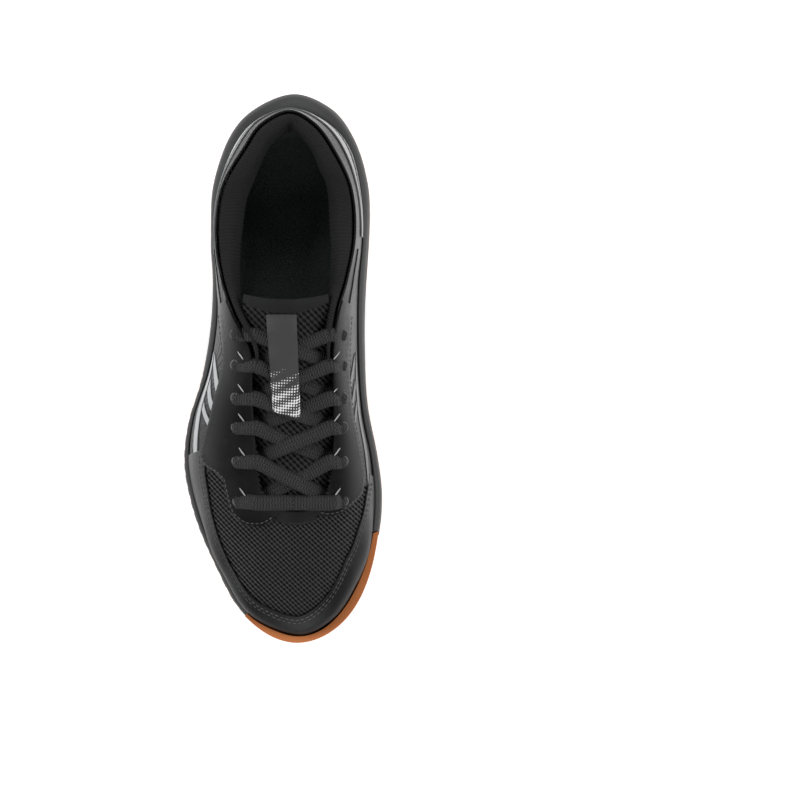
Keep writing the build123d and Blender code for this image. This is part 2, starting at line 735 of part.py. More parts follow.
def lace_corners():
    """Radius and tangent points of the arc at each corner of the route."""
    corners = []
    for before, corner, after in zip(route, route[1:], route[2:]):
        run_in = Vector(*corner) - Vector(*before)
        run_out = Vector(*after) - Vector(*corner)
        half_turn = radians(run_in.get_angle(run_out)) / 2
        shorter = min(run_in.length, run_out.length)
        radius = min(0.45 * shorter * cos(half_turn) / sin(half_turn), largest_bend)
        back = radius * sin(half_turn) / cos(half_turn)
        start = Vector(*corner) - run_in.normalized() * back
        stop = Vector(*corner) + run_out.normalized() * back
        inward = ((start + stop) * 0.5 - Vector(*corner)).normalized()
        middle = Vector(*corner) + inward * (radius / cos(half_turn) - radius)
        corners.append((radius, start, middle, stop))
    return corners


lace_bends = lace_corners()
with BuildPart() as lace:
    with BuildLine() as lace_path:
        last_point = Vector(*route[0])
        for radius, start, middle, stop in lace_bends:
            Line(last_point, start)
            ThreePointArc(start, middle, stop)
            last_point = stop
        Line(last_point, Vector(*route[-1]))
    lace_wire = Wire(lace_path.edges())
    with BuildSketch(lace_wire ^ 0):
        Circle(lace_radius)
    sweep(path=lace_wire)
lace.part.label = "lace"

with BuildPart() as lace_tips:
    for end, before in ((route[0], route[1]), (route[-1], route[-2])):
        direction = (Vector(*end) - Vector(*before)).normalized()
        tip_plane = Plane(origin=Vector(*end), z_dir=direction)
        with BuildSketch(tip_plane):
            Circle(lace_tip_diameter / 2)
        extrude(amount=lace_tip_length)
lace_tips.part.label = "lace_tips"

# ---------------------------------------------------------------- files
os.makedirs("parts", exist_ok=True)
pieces = [
    outsole_heel, outsole_forefoot, outsole_toe, midfoot_shank, midsole, heel_gel_pad,
    strobel_board, insole, quarter_lateral, quarter_medial, vamp_mesh, toe_cap,
    eyestay_lateral, eyestay_medial, heel_film, heel_piping, side_trim_lateral,
    side_trim_medial, heel_counter, toe_puff, vamp_lining, collar_lining, collar_foam,
    tongue_mesh, tongue_foam, tongue_lining, tongue_top, tongue_label, lace, lace_tips,
]
for piece in pieces:
    export_step(piece.part, f"parts/{piece.part.label}.step")
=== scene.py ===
from math import cos, hypot, pi, radians, sin

import bmesh
import bpy
from bpy.props import FloatProperty, FloatVectorProperty, PointerProperty
from mathutils import Matrix, Vector


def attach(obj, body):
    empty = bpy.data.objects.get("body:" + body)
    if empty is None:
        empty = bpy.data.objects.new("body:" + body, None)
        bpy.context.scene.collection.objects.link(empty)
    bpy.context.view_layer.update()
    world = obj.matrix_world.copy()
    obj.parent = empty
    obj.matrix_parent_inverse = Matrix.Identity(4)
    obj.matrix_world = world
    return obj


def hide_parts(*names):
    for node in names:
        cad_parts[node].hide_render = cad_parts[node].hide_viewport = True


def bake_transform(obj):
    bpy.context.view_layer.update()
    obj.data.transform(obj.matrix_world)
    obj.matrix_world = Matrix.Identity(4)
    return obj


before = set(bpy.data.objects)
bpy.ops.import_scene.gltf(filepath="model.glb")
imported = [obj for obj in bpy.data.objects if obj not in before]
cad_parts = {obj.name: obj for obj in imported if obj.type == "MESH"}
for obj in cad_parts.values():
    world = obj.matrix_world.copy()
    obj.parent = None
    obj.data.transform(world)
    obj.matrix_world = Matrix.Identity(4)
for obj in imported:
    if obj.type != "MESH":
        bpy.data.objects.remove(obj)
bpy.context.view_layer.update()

bl_info = {
    "name": "Court Shoe Builder",
    "version": (1, 0, 0),
    "blender": (4, 5, 0),
    "location": "View3D > Sidebar > Court Shoe",
    "description": "Builds the upper, sole, tongue and laces of a court shoe on its fixed frame",
    "category": "Object",
}

MM = 0.001

# ---------------------------------------------------------------- the last, in millimetres
# rib: feather x, feather y, topline x, topline y, topline height, sweep, arch share, padding
OUTER_RIBS = [
    (-12.5, 128.5, -8.7, 123.6, 89, 40, 1.0, 0.95),
    (-24.5, 115.5, -17.5, 112.0, 86, 45, 1.0, 1.0),
    (-32.5, 92, -29.5, 92, 79, 45, 1.0, 1.1),
    (-35, 68, -33.0, 68, 73, 45, 1.0, 1.0),
    (-34, 45, -30.0, 45, 74, 50, 1.0, 0.8),
    (-34.5, 22, -23.5, 27, 83, 65, 1.0, 0.5),
    (-39, -2, -14, 7, 84, 80, 0.9, 0),
    (-47, -26, -13.5, -14, 78, 88, 0.85, 0),
    (-49.8, -48, -12.5, -34, 72, 90, 0.8, 0),
    (-46.8, -68, -11.5, -52, 67, 90, 0.75, 0),
    (-40.5, -88, -9.5, -64, 64, 90, 0.7, 0),
    (-31.5, -107, -5, -70.5, 62.5, 90, 0.65, 0),
    (-17.3, -130, 1, -73.5, 62, 90, 0.62, 0),
]
INNER_RIBS = [
    (24, 127.5, 18.5, 124, 89, 40, 1.0, 0.95),
    (35.5, 114, 28, 112, 86, 45, 1.0, 1.0),
    (41, 91, 37.5, 92, 80, 45, 1.0, 1.1),
    (42, 68, 39.5, 68, 75, 45, 1.0, 1.0),
    (40, 45, 35.5, 45, 76, 50, 1.0, 0.8),
    (39.5, 22, 30.5, 27, 84, 65, 1.0, 0.5),
    (40, -2, 28, 7, 84, 80, 0.9, 0),
    (42, -25, 28, -14, 78, 88, 0.85, 0),
    (46.5, -48, 28, -34, 72, 90, 0.8, 0),
    (48.2, -70, 27, -52, 67, 90, 0.75, 0),
    (46.2, -92, 25, -64, 64, 90, 0.7, 0),
    (39.3, -113.5, 21, -70.5, 62.5, 90, 0.65, 0),
    (26.5, -132.7, 15, -73.5, 62, 90, 0.62, 0),
]
HEEL_RIB = (5.7, 134, 5.7, 130.2, 90, 40, 1.0, 0.85)
TOE_RIB = (8, -140.8, 8, -74.5, 61.5, 90, 0.6, 0)
RING = [HEEL_RIB] + OUTER_RIBS + [TOE_RIB] + INNER_RIBS[::-1]
TURN = len(RING)
SOLE_OUTLINE = [
    (5.7, 145), (-15, 137), (-28, 122.5), (-36.5, 98), (-38, 75), (-37, 45), (-38.5, 20),
    (-43, -5), (-50.5, -30), (-52, -50), (-46.5, -77), (-36, -105), (-20, -131), (8, -145),
    (30.5, -135.5), (44, -115), (50.5, -88), (52, -67), (49.5, -46), (44.5, -20), (43, 5),
    (43, 35), (45.5, 80), (43.5, 103), (36.5, 123), (25, 137.5),
]
LACE_ROWS = [-69.3, -48.4, -30.8, -15.8, 0.9, 16.5]
TONGUE_STATIONS = [
    (-70, 62, 8, 20), (-50, 68, 7.5, 22), (-20, 77, 7, 22.5), (10, 85.5, 6, 22.5),
    (20, 88.5, 4.0, 21.5), (37, 95.5, 3.2, 21),
]
HEEL_BED, BALL_BED, BED_SLOPE = 25.0, 15.5, 60.0     # the footbed's heights and its slope
TOE_SPRING, SPRING_START, HALF_LENGTH = 8.0, 85.0, 145.0
OUTSOLE, SKIN, GLUE, TONGUE_CROWN = 3.5, 1.2, 0.3, 8.0


def cubic(p0, p1, p2, p3, t):
    """Smooth curve between p1 and p2."""
    slope_in, slope_out = (p2 - p0) / 2, (p3 - p1) / 2
    return (p1 + slope_in * t + (3 * (p2 - p1) - 2 * slope_in - slope_out) * t ** 2
            + (2 * (p1 - p2) + slope_in + slope_out) * t ** 3)


def along(points, share, closed=False):
    """Point at a share of the way along a smooth curve through rows of numbers."""
    count = len(points)
    spans = count if closed else count - 1
    at = share * spans
    index = int(at // 1) if closed else min(int(at), spans - 1)
    t = at - index
    if closed:
        rows = [points[(index + step) % count] for step in (-1, 0, 1, 2)]
    else:
        rows = [points[min(max(index + step, 0), count - 1)] for step in (-1, 0, 1, 2)]
    return [cubic(a, b, c, d, t) for a, b, c, d in zip(*rows)]


def step_up(low, high, value):
    """0 below low, 1 above high, smooth in between."""
    t = min(1.0, max(0.0, (value - low) / (high - low)))
    return t * t * (3 - 2 * t)


def read_curve(points, x):
    """Height of a broken line through (x, y) points."""
    if x <= points[0][0]:
        return points[0][1]
    for (x0, y0), (x1, y1) in zip(points, points[1:]):
        if x <= x1:
            return y0 + (y1 - y0) * (x - x0) / (x1 - x0)
    return points[-1][1]


def spring(y):
    ahead = max(0.0, -SPRING_START - y)
    return TOE_SPRING * (ahead / (HALF_LENGTH - SPRING_START)) ** 2


def bed(y):
    share = min(1.0, max(0.0, (BED_SLOPE - y) / (2 * BED_SLOPE)))
    return HEEL_BED + (BALL_BED - HEEL_BED) * (1 - cos(pi * share)) / 2 + spring(y)


class Rib:
    """One rib of the upper, from the feather edge to the topline, in millimetres."""

    cache = {}

    def __init__(self, place):
        row = along(RING, (place % TURN) / TURN, closed=True)
        self.fx, self.fy, tx, ty, top, sweep, self.arch, self.padding = row
        self.reach = hypot(tx - self.fx, ty - self.fy)
        self.foot = bed(self.fy) + GLUE
        self.rise = top - self.foot
        self.angle = radians(sweep)
        self.dx, self.dy = (tx - self.fx) / self.reach, (ty - self.fy) / self.reach
        self.tx, self.ty, self.top = tx, ty, top

    @classmethod
    def find(cls, place):
        key = round(place * 4096)
        if key not in cls.cache:
            cls.cache[key] = cls(place)
        return cls.cache[key]

    def at(self, t, depth):
        a = self.angle
        flat = (1 - cos(a * t)) / (1 - cos(a))
        steep = sin(a * t) / sin(a)
        out = self.reach * flat
        up = self.rise * (self.arch * steep + (1 - self.arch) * flat)
        d_out = self.reach * sin(a * t) / (1 - cos(a))
        d_up = self.rise * (self.arch * cos(a * t) / sin(a)
                            + (1 - self.arch) * sin(a * t) / (1 - cos(a)))
        length = hypot(d_out, d_up)
        return (out + depth * d_up / length, up - depth * d_out / length)

    def spot(self, out, up):
        """A point of the rib's plane, in metres of the frame."""
        return Vector((self.fx + self.dx * out, self.fy + self.dy * out, self.foot + up)) * MM


def skin(place, share, depth=0.0):
    """Point of the upper at a place on the ring and a share of the way up, in metres."""
    rib = Rib.find(place)
    return rib.spot(*rib.at(share, depth))


def tongue_row(y):
    """Height of the tongue's middle, its x and its half width, at a place along the shoe."""
    rows = TONGUE_STATIONS
    for low, high in zip(rows, rows[1:]):
        if y <= high[0]:
            break
    share = (y - low[0]) / (high[0] - low[0])
    return [a + (b - a) * share for a, b in zip(low[1:], high[1:])]


def tongue_z(x, y):
    z, middle, half = tongue_row(y)
    return z - TONGUE_CROWN * ((x - middle) / half) ** 2


# ---------------------------------------------------------------- meshes
WELD, FRAME_WELD = 0.00002, 0.000005         # corners closer than this are one, in metres


def lengths_along(spots):
    """Length of the way from the first of a row of points to each of them."""
    lengths = [0.0]
    for near, far in zip(spots, spots[1:]):
        lengths.append(lengths[-1] + (far - near).length)
    return lengths


def add_piece(name, bm, *finishes):
    """Turn a bmesh into a smooth object at the origin, with its finishes."""
    mesh = bpy.data.meshes.new(name)
    bm.to_mesh(mesh)
    bm.free()
    for polygon in mesh.polygons:
        polygon.use_smooth = True
    for finish in finishes:
        mesh.materials.append(FINISHES[finish])
    piece = bpy.data.objects.new(name, mesh)
    bpy.context.collection.objects.link(piece)
    return piece


def fitted_grid(columns, rows, where, uv_size=(1.0, 1.0)):
    """A grid laid over a surface: where(u, v) gives the place of each corner."""
    bm = bmesh.new()
    uv = bm.loops.layers.uv.new("UVMap")
    bmesh.ops.create_grid(bm, x_segments=columns, y_segments=rows, size=0.5)
    for face in bm.faces:
        for loop in face.loops:
            spot = loop.vert.co
            loop[uv].uv = ((spot.x + 0.5) * uv_size[0], (spot.y + 0.5) * uv_size[1])
    for vert in bm.verts:
        vert.co = where(vert.co.x + 0.5, vert.co.y + 0.5)
    return bm


def flip(bm):
    bmesh.ops.reverse_faces(bm, faces=bm.faces[:])


def weld(bm, gap=WELD):
    bmesh.ops.remove_doubles(bm, verts=bm.verts[:], dist=gap)


def thicken(piece, thickness, offset=-1.0):
    wall = piece.modifiers.new("Wall", "SOLIDIFY")
    wall.thickness = thickness
    wall.offset = offset
    wall.use_even_offset = False


def soften(piece, width):
    edge = piece.modifiers.new("Edge", "BEVEL")
    edge.width = width
    edge.segments = 2
    edge.limit_method = "ANGLE"
    edge.angle_limit = radians(50)


def patch(first, last, low, high, depth, columns, rows, relief=None):
    """A panel of the upper between two places on the ring.  low and high are shares, or
    broken lines of (place, share).  relief(point, u, v) gives an extra depth."""
    def edge(line, place):
        return read_curve(line, place) if isinstance(line, list) else line

    def where(u, v):
        place = first + (last - first) * u
        a, b = edge(low, place), edge(high, place)
        share = a + (b - a) * v
        point = skin(place, share, depth)
        extra = relief(point, u, v) if relief else 0.0
        return skin(place, share, depth + extra) if extra else point
    return fitted_grid(columns, rows, where)


def settle(piece, slot, nodes=(), bends=True):
    """Hide the nodes that a piece replaces, then bake its place into it or attach it to the shoe's
    body.  slot is not used.
    """
    if nodes:
        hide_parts(*nodes)
    if bends:
        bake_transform(piece)
    else:
        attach(piece, "shoe")


def panel(name, bm, finishes, slot, nodes, wall, edge=0.0, bends=True):
    """Finish a panel of the upper: its wall, its edge and what settle gives it."""
    piece = add_piece(name, bm, *finishes)
    thicken(piece, wall)
    settle(piece, slot, nodes, bends)
    if edge:
        soften(piece, edge)


def build_panels(rows):
    for name, finish, slot, nodes, places, shares, depth, grid, relief, wall, edge in rows:
        bm = patch(*places, *shares, depth, *grid, relief)
        panel(name, bm, [finish], slot, nodes, wall, edge)


def sausage(bm, start, end, radius, rounds):
    """A short rounded stitch from start to end."""
    run = end - start
    turn = run.to_track_quat("Z", "Y").to_matrix().to_4x4()
    size = Matrix.Diagonal((radius, radius * 0.7, run.length / 2, 1))
    bmesh.ops.create_uvsphere(bm, u_segments=rounds, v_segments=5, radius=1,
                              matrix=Matrix.Translation((start + end) / 2) @ turn @ size)


# ---------------------------------------------------------------- shared finish effects
COLOUR_A, COLOUR_B, COLOUR_OUT = 6, 7, 2     # colour sockets of a Mix node
FULL_TURN = 2 * pi


class Signal:
    """A socket's value.  Sums, products and the like add Math nodes to its tree."""

    def __init__(self, wiring, socket):
        self.wiring, self.socket = wiring, socket

    def __add__(self, other):
        return self.wiring.math("ADD", self, other)

    def __sub__(self, other):
        return self.wiring.math("SUBTRACT", self, other)

    def __mul__(self, other):
        return self.wiring.math("MULTIPLY", self, other)

    def __truediv__(self, other):
        return self.wiring.math("DIVIDE", self, other)

    def clamped(self):
        self.socket.node.use_clamp = True
        return self


class Wiring:
    """Short calls that add and join nodes in one tree."""

    def __init__(self, tree):
        self.tree = tree

    def node(self, kind, **settings):
        made = self.tree.nodes.new(kind)
        for key, value in settings.items():
            setattr(made, key, value)
        return made

    def put(self, socket, value):
        """Join a signal or a socket to an input, or give the input a plain value."""
        if isinstance(value, Signal):
            value = value.socket
        if isinstance(value, bpy.types.NodeSocket):
            self.tree.links.new(value, socket)
        else:
            socket.default_value = value

    def math(self, kind, *values):
        made = self.node("ShaderNodeMath", operation=kind)
        for socket, value in zip(made.inputs, values):
            self.put(socket, value)
        return Signal(self, made.outputs[0])

    def split(self, vector):
        made = self.node("ShaderNodeSeparateXYZ")
        self.put(made.inputs[0], vector)
        return [Signal(self, socket) for socket in made.outputs]

    def wave(self, value, pitch=1.0):
        """Cosine of a length, once per pitch."""
        return self.math("COSINE", value * (FULL_TURN / pitch))

    def noise(self, vector, scale, detail=3.0, rough=0.55):
        made = self.node("ShaderNodeTexNoise")
        for label, value in (("Vector", vector), ("Scale", scale), ("Detail", detail),
                             ("Roughness", rough)):
            self.put(made.inputs[label], value)
        return Signal(self, made.outputs["Fac"])

    def ramp(self, value, low, high, out_low=0.0, out_high=1.0):
        made = self.node("ShaderNodeMapRange", interpolation_type="SMOOTHSTEP")
        for label, number in (("Value", value), ("From Min", low), ("From Max", high),
                              ("To Min", out_low), ("To Max", out_high)):
            self.put(made.inputs[label], number)
        return Signal(self, made.outputs["Result"])

    def mix(self, mask, low, high):
        """One colour where the mask is 0 and another where it is 1."""
        made = self.node("ShaderNodeMix", data_type="RGBA")
        self.put(made.inputs["Factor"], mask)
        for index, colour in ((COLOUR_A, low), (COLOUR_B, high)):
            self.put(made.inputs[index], (*colour, 1) if isinstance(colour, tuple) else colour)
        return made.outputs[COLOUR_OUT]


class Effect(Wiring):
    """A shader node group with a vector and named numbers in, and masks and heights out."""

    def __init__(self, name, inputs, outputs=("Tone", "Height")):
        super().__init__(bpy.data.node_groups.new(name, "ShaderNodeTree"))
        new_socket = self.tree.interface.new_socket
        new_socket("Vector", in_out="INPUT", socket_type="NodeSocketVector")
        for label, default in inputs.items():
            socket = new_socket(label, in_out="INPUT", socket_type="NodeSocketFloat")
            socket.default_value = default
        for label in outputs:
            new_socket(label, in_out="OUTPUT", socket_type="NodeSocketFloat")
        self.source = self.node("NodeGroupInput")
        self.sink = self.node("NodeGroupOutput")
        self.vector = self.source.outputs["Vector"]

    def given(self, label):
        return Signal(self, self.source.outputs[label])

    def put_out(self, **values):
        for label, value in values.items():
            self.put(self.sink.inputs[label], value)
        return self.tree


def grain_effect():
    """Leather grain: fine creased cells, soft tone and scuffed high spots."""
    w = Effect("Leather_grain", {"Cells": 900.0, "Scuffs": 0.3})
    cells = w.node("ShaderNodeTexVoronoi", feature="DISTANCE_TO_EDGE")
    w.put(cells.inputs["Vector"], w.vector)
    w.put(cells.inputs["Scale"], w.given("Cells"))
    crease = w.ramp(cells.outputs["Distance"], 0.0, 0.16)
    cloud = w.ramp(w.noise(w.vector, 55.0, 5.0), 0.3, 0.7)
    scuff = w.ramp(w.noise(w.vector, 260.0, 4.0), 0.56, 0.72) * w.given("Scuffs")
    fine = w.noise(w.vector, 2400.0, 2.0) * 0.3
    return w.put_out(Tone=(cloud * 0.5 + scuff).clamped(), Height=crease + fine)


def mesh_effect():
    """Open double mesh: staggered holes between twisted yarns."""
    w = Effect("Open_mesh", {"Across": 0.0030, "Along": 0.0026}, ("Tone", "Height", "Hole"))
    x, y, _ = w.split(w.vector)
    sway = (w.noise(w.vector, 60.0, 1.0) - 0.5) * 0.0005
    turn_x = (x + sway) / w.given("Across")
    turn_y = (y + x * HOLE_LEAN) / w.given("Along")
    slant = w.math("SINE", turn_x * FULL_TURN) * w.math("SINE", turn_y * FULL_TURN)
    hole = w.ramp(w.wave(turn_x) * w.wave(turn_y) - slant * HOLE_SLANT, -0.05, 0.30)
    yarn = w.math("SINE", (turn_x + turn_y * 2.0) * 18.0)
    fuzz = w.noise(w.vector, 1900.0)
    return w.put_out(Tone=(yarn * 0.16 + fuzz * 0.8).clamped(),
                     Height=(yarn + 1.0) * 0.18 - hole, Hole=hole)


def weave_effect():
    """Plain woven or knitted cloth: crossing threads with a soft cloudy tone."""
    w = Effect("Woven_cloth", {"Thread": 0.0009, "Lean": 0.0})
    x, y, z = w.split(w.vector)
    warp = w.wave((x + z * 0.7) / w.given("Thread"))
    weft = w.wave((y + x * w.given("Lean")) / w.given("Thread"))
    cross = warp * weft
    fuzz, cloud = w.noise(w.vector, 2600.0), w.noise(w.vector, 40.0, 4.0)
    tone = w.ramp(cross, -0.6, 0.8) * 0.45 + fuzz * cloud * 1.7
    return w.put_out(Tone=tone.clamped(), Height=cross * 0.5 + fuzz)


def ridge_effect():
    """Fine raised lines that lean across the panel, as on an embossed synthetic."""
    w = Effect("Raised_lines", {"Pitch": 0.0014, "Lean": 0.2})
    x, y, z = w.split(w.vector)
    line = w.wave((x - z * 0.55 + y * w.given("Lean")) / w.given("Pitch"))
    fine = w.noise(w.vector, 1500.0)
    return w.put_out(Tone=(w.ramp(line, 0.0, 1.0) * 0.55 + fine * 0.4).clamped(),
                     Height=w.ramp(line, -0.4, 0.9) + fine * 0.3)


def speckle_effect():
    """Moulded rubber or foam: fine pores, faint mould mottling and dust."""
    w = Effect("Moulded_speckle", {"Pores": 1400.0, "Dust": 0.4})
    pores = w.noise(w.vector, w.given("Pores"), 2.0)
    cloud = w.noise(w.vector, 32.0, 5.0)
    dust = w.ramp(w.noise(w.vector, 120.0, 6.0, 0.7), 0.52, 0.75) * w.given("Dust")
    return w.put_out(Tone=(cloud * 0.8 + dust).clamped(), Height=pores + cloud * 0.4)


def braid_effect():
    """Flat woven tape: chevron picks that follow the band.  The vector is its own UV map,
    with the way across in X and the length in metres in Y."""
    w = Effect("Woven_tape", {"Pick": 0.0015, "Ends": 14.0})
    x, y, _ = w.split(w.vector)
    ends = w.wave(x * w.given("Ends"))
    pick = w.wave(y / w.given("Pick") + ends * 0.22)
    cell = pick * 0.6 + ends * pick * 0.4
    fuzz = w.noise(w.vector, 900.0)
    return w.put_out(Tone=(w.ramp(cell, -0.5, 0.9) * 0.6 + fuzz * 0.35).clamped(),
                     Height=cell + fuzz * 0.4)


EFFECT_MAKERS = {"grain": grain_effect, "mesh": mesh_effect, "weave": weave_effect,
                 "ridge": ridge_effect, "speckle": speckle_effect, "braid": braid_effect}
EFFECTS = {}
FINISHES = {}


def new_material(name):
    """A material, the wiring of its tree and the inputs of its shader."""
    material = FINISHES[name] = bpy.data.materials.new(name)
    material.use_nodes = True
    return Wiring(material.node_tree), material.node_tree.nodes["Principled BSDF"].inputs


def make_finish(name, effect, dark, light, rough, bump, depth=0.0002, uv=False, values=None,
                shader=None, hole=None):
    """A material: two tones of a shared effect, its roughness and its bump."""
    w, surface = new_material(name)
    place = w.node("ShaderNodeTexCoord").outputs["UV" if uv else "Object"]
    cell = w.node("ShaderNodeGroup", node_tree=EFFECTS[effect])
    w.put(cell.inputs["Vector"], place)
    for label, value in (values or {}).items():
        cell.inputs[label].default_value = value
    colour = w.mix(cell.outputs["Tone"], dark, light)
    # hole: a near-black colour laid over the mesh's holes, which is painted shade in them over the
    # dark lining that shows through
    if hole is not None:
        colour = w.mix(cell.outputs["Hole"], colour, hole)
    w.put(surface["Base Color"], colour)
    w.put(surface["Roughness"], w.ramp(cell.outputs["Tone"], 0.0, 1.0, *rough))
    dent = w.node("ShaderNodeBump")
    dent.inputs["Strength"].default_value = bump
    dent.inputs["Distance"].default_value = depth
    w.put(dent.inputs["Height"], cell.outputs["Height"])
    w.put(surface["Normal"], dent.outputs["Normal"])
    for label, value in (shader or {}).items():
        surface[label].default_value = value
    return w, surface


LABEL_WIDTH, LABEL_LENGTH = 15.0, 50.0       # what the label's UV map spans, in millimetres
DOT_PITCHES, BAND_PITCH = (3.1, 2.5), 6.2    # its printed dots and their bands


def label_finish(dark, light, dots):
    """Label cloth with rows of printed dots that grow towards its lower end."""
    w, surface = make_finish("label_cloth", "weave", dark, light, (0.55, 0.7), 0.25,
                             values={"Thread": 0.0006})
    u, v, _ = w.split(w.node("ShaderNodeTexCoord").outputs["UV"])
    dot = (w.wave(u * LABEL_WIDTH + v * LABEL_LENGTH, DOT_PITCHES[0])
           * w.wave(u * LABEL_WIDTH - v * LABEL_LENGTH, DOT_PITCHES[1]))
    band = w.wave(u * -9.0 + v * LABEL_LENGTH, BAND_PITCH)
    level = dot + band * 0.40 + w.ramp(v, 0.10, 0.62, 0.25, -1.2)
    plain = surface["Base Color"].links[0].from_socket
    w.put(surface["Base Color"], w.mix(w.ramp(level, 0.36, 0.50), plain, dots))


def floor_finish():
    _, surface = new_material("pale_floor")
    for label, value in (("Base Color", (0.93, 0.93, 0.93, 1)), ("Roughness", 0.9),
                         ("Emission Color", (1, 1, 1, 1)), ("Emission Strength", 0.42)):
        surface[label].default_value = value


def make_finishes(colours):
    black, gum, silver = colours.black[:], colours.gum[:], colours.silver[:]
    yarn, foam, cloth = colours.mesh_yarn[:], colours.sole_foam[:], colours.lining[:]

    def tint(colour, factor):
        return tuple(min(1.0, c * factor) for c in colour)

    make_finish("black_synthetic", "grain", tint(black, 0.35), tint(black, 0.9), (0.30, 0.42),
                0.16, values={"Cells": 1500.0, "Scuffs": 0.25},
                shader={"Specular IOR Level": 0.14})
    make_finish("ribbed_synthetic", "ridge", tint(black, 0.25), tint(black, 1.8), (0.34, 0.46),
                0.9, depth=0.0004, shader={"Specular IOR Level": 0.15})
    make_finish("toe_synthetic", "grain", tint(black, 0.6), tint(black, 1.3), (0.32, 0.44), 0.2,
                values={"Cells": 1300.0, "Scuffs": 0.35}, shader={"Specular IOR Level": 0.2})
    # The near-black hole colour of both meshes is painted shade in the holes, over the dark lining
    # seen through them.
    make_finish("open_mesh_yarn", "mesh", tint(yarn, 0.5), tint(yarn, 2.1), (0.62, 0.80), 0.9,
                depth=0.0005, hole=(0.001, 0.001, 0.001), shader={"Specular IOR Level": 0.25})
    make_finish("tongue_mesh_yarn", "mesh", tint(yarn, 0.25), tint(yarn, 1.2), (0.65, 0.82), 0.9,
                depth=0.0006, hole=(0.001, 0.001, 0.001), shader={"Specular IOR Level": 0.2},
                values={"Across": TONGUE_HOLE_ACROSS, "Along": TONGUE_HOLE_ALONG})
    make_finish("collar_knit", "weave", tint(cloth, 0.4), tint(cloth, 1.4), (0.72, 0.88), 0.5,
                values={"Thread": 0.0007}, shader={"Specular IOR Level": 0.15})
    make_finish("lining_cloth", "weave", tint(cloth, 0.6), tint(cloth, 1.6), (0.75, 0.9), 0.4,
                values={"Thread": 0.0010}, shader={"Specular IOR Level": 0.15})
    make_finish("insole_cloth", "weave", (0.014, 0.019, 0.017), (0.075, 0.092, 0.085),
                (0.75, 0.92), 0.8, depth=0.0003, values={"Thread": 0.0012, "Lean": 0.1},
                shader={"Specular IOR Level": 0.15})
    make_finish("lace_weave", "braid", (0.0008, 0.0008, 0.0008), (0.058, 0.058, 0.059),
                (0.50, 0.70), 1.0, depth=0.0004, uv=True, shader={"Specular IOR Level": 0.25})
    make_finish("gum_rubber", "speckle", tint(gum, 0.82), tint(gum, 1.12), (0.42, 0.58), 0.2,
                values={"Pores": 1500.0, "Dust": 0.25},
                shader={"Subsurface Weight": 0.08, "Subsurface Scale": 0.004})
    make_finish("sole_foam", "speckle", tint(foam, 0.8), tint(foam, 1.4), (0.50, 0.68), 0.22,
                values={"Pores": 1800.0, "Dust": 0.4})
    make_finish("heel_gloss", "speckle", (0.10, 0.101, 0.104), (0.16, 0.161, 0.165),
                (0.28, 0.40), 0.06, values={"Pores": 700.0, "Dust": 0.2},
                shader={"Coat Weight": 0.2, "Coat Roughness": 0.25})
    make_finish("silver_film", "speckle", tint(silver, 0.78), tint(silver, 1.1), (0.26, 0.40),
                0.1, values={"Pores": 1200.0, "Dust": 0.3}, shader={"Metallic": 0.35})
    make_finish("grey_film", "speckle", (0.035, 0.036, 0.038), (0.075, 0.077, 0.08), (0.3, 0.42),
                0.1, values={"Pores": 1200.0, "Dust": 0.3})
    for name, effect, dark, light, rough, bump in (
            ("stiff_sheet", "speckle", (0.52, 0.50, 0.45), (0.72, 0.70, 0.64), (0.6, 0.75), 0.2),
            ("board_felt", "weave", (0.42, 0.40, 0.35), (0.68, 0.66, 0.60), (0.85, 0.95), 0.6),
            ("cushion_gel", "speckle", (0.36, 0.37, 0.40), (0.55, 0.56, 0.60), (0.2, 0.35), 0.1),
            ("shank_plastic", "speckle", (0.02, 0.02, 0.022), (0.05, 0.05, 0.053), (0.3, 0.45),
             0.15),
            # painted highlight: light grey for the glint strips beside the eyelets
            ("painted_glint_strip", "speckle", (0.30, 0.30, 0.31), (0.48, 0.48, 0.49), (0.3, 0.45), 0.1)):
        make_finish(name, effect, dark, light, rough, bump)
    make_finish("stitch_thread", "grain", (0.05, 0.05, 0.052), (0.12, 0.12, 0.122), (0.5, 0.65),
                0.3, values={"Cells": 3500.0, "Scuffs": 0.2})
    label_finish((0.014, 0.014, 0.0145), (0.034, 0.034, 0.035), (0.74, 0.74, 0.74))
    floor_finish()


# ---------------------------------------------------------------- what a user would change
class CourtShoeSizes(bpy.types.PropertyGroup):
    hole_across: FloatProperty(name="Mesh hole pitch across", default=0.0030, unit="LENGTH",
                               description="Distance between holes across the vamp")
    hole_along: FloatProperty(name="Mesh hole pitch along", default=0.0026, unit="LENGTH",
                              description="Distance between holes along the vamp")
    hole_depth: FloatProperty(name="Mesh hole depth", default=0.0010, unit="LENGTH",
                              description="How deep the holes of the mesh are sunk")
    knit_pitch: FloatProperty(name="Collar rib pitch", default=0.0017, unit="LENGTH",
                              description="Distance between the ribs of the collar knit")
    knit_relief: FloatProperty(name="Collar rib height", default=0.00035, unit="LENGTH",
                               description="Height of the ribs of the collar knit")
    lace_width: FloatProperty(name="Lace width", default=0.0080, unit="LENGTH",
                              description="Width of the flat lace")
    lace_thickness: FloatProperty(name="Lace thickness", default=0.0013, unit="LENGTH",
                                  description="Thickness of the flat lace")
    stitch_pitch: FloatProperty(name="Stitch pitch", default=0.0026, unit="LENGTH",
                                description="Distance between stitches")
    stitch_length: FloatProperty(name="Stitch length", default=0.0019, unit="LENGTH",
                                 description="Visible length of one stitch")


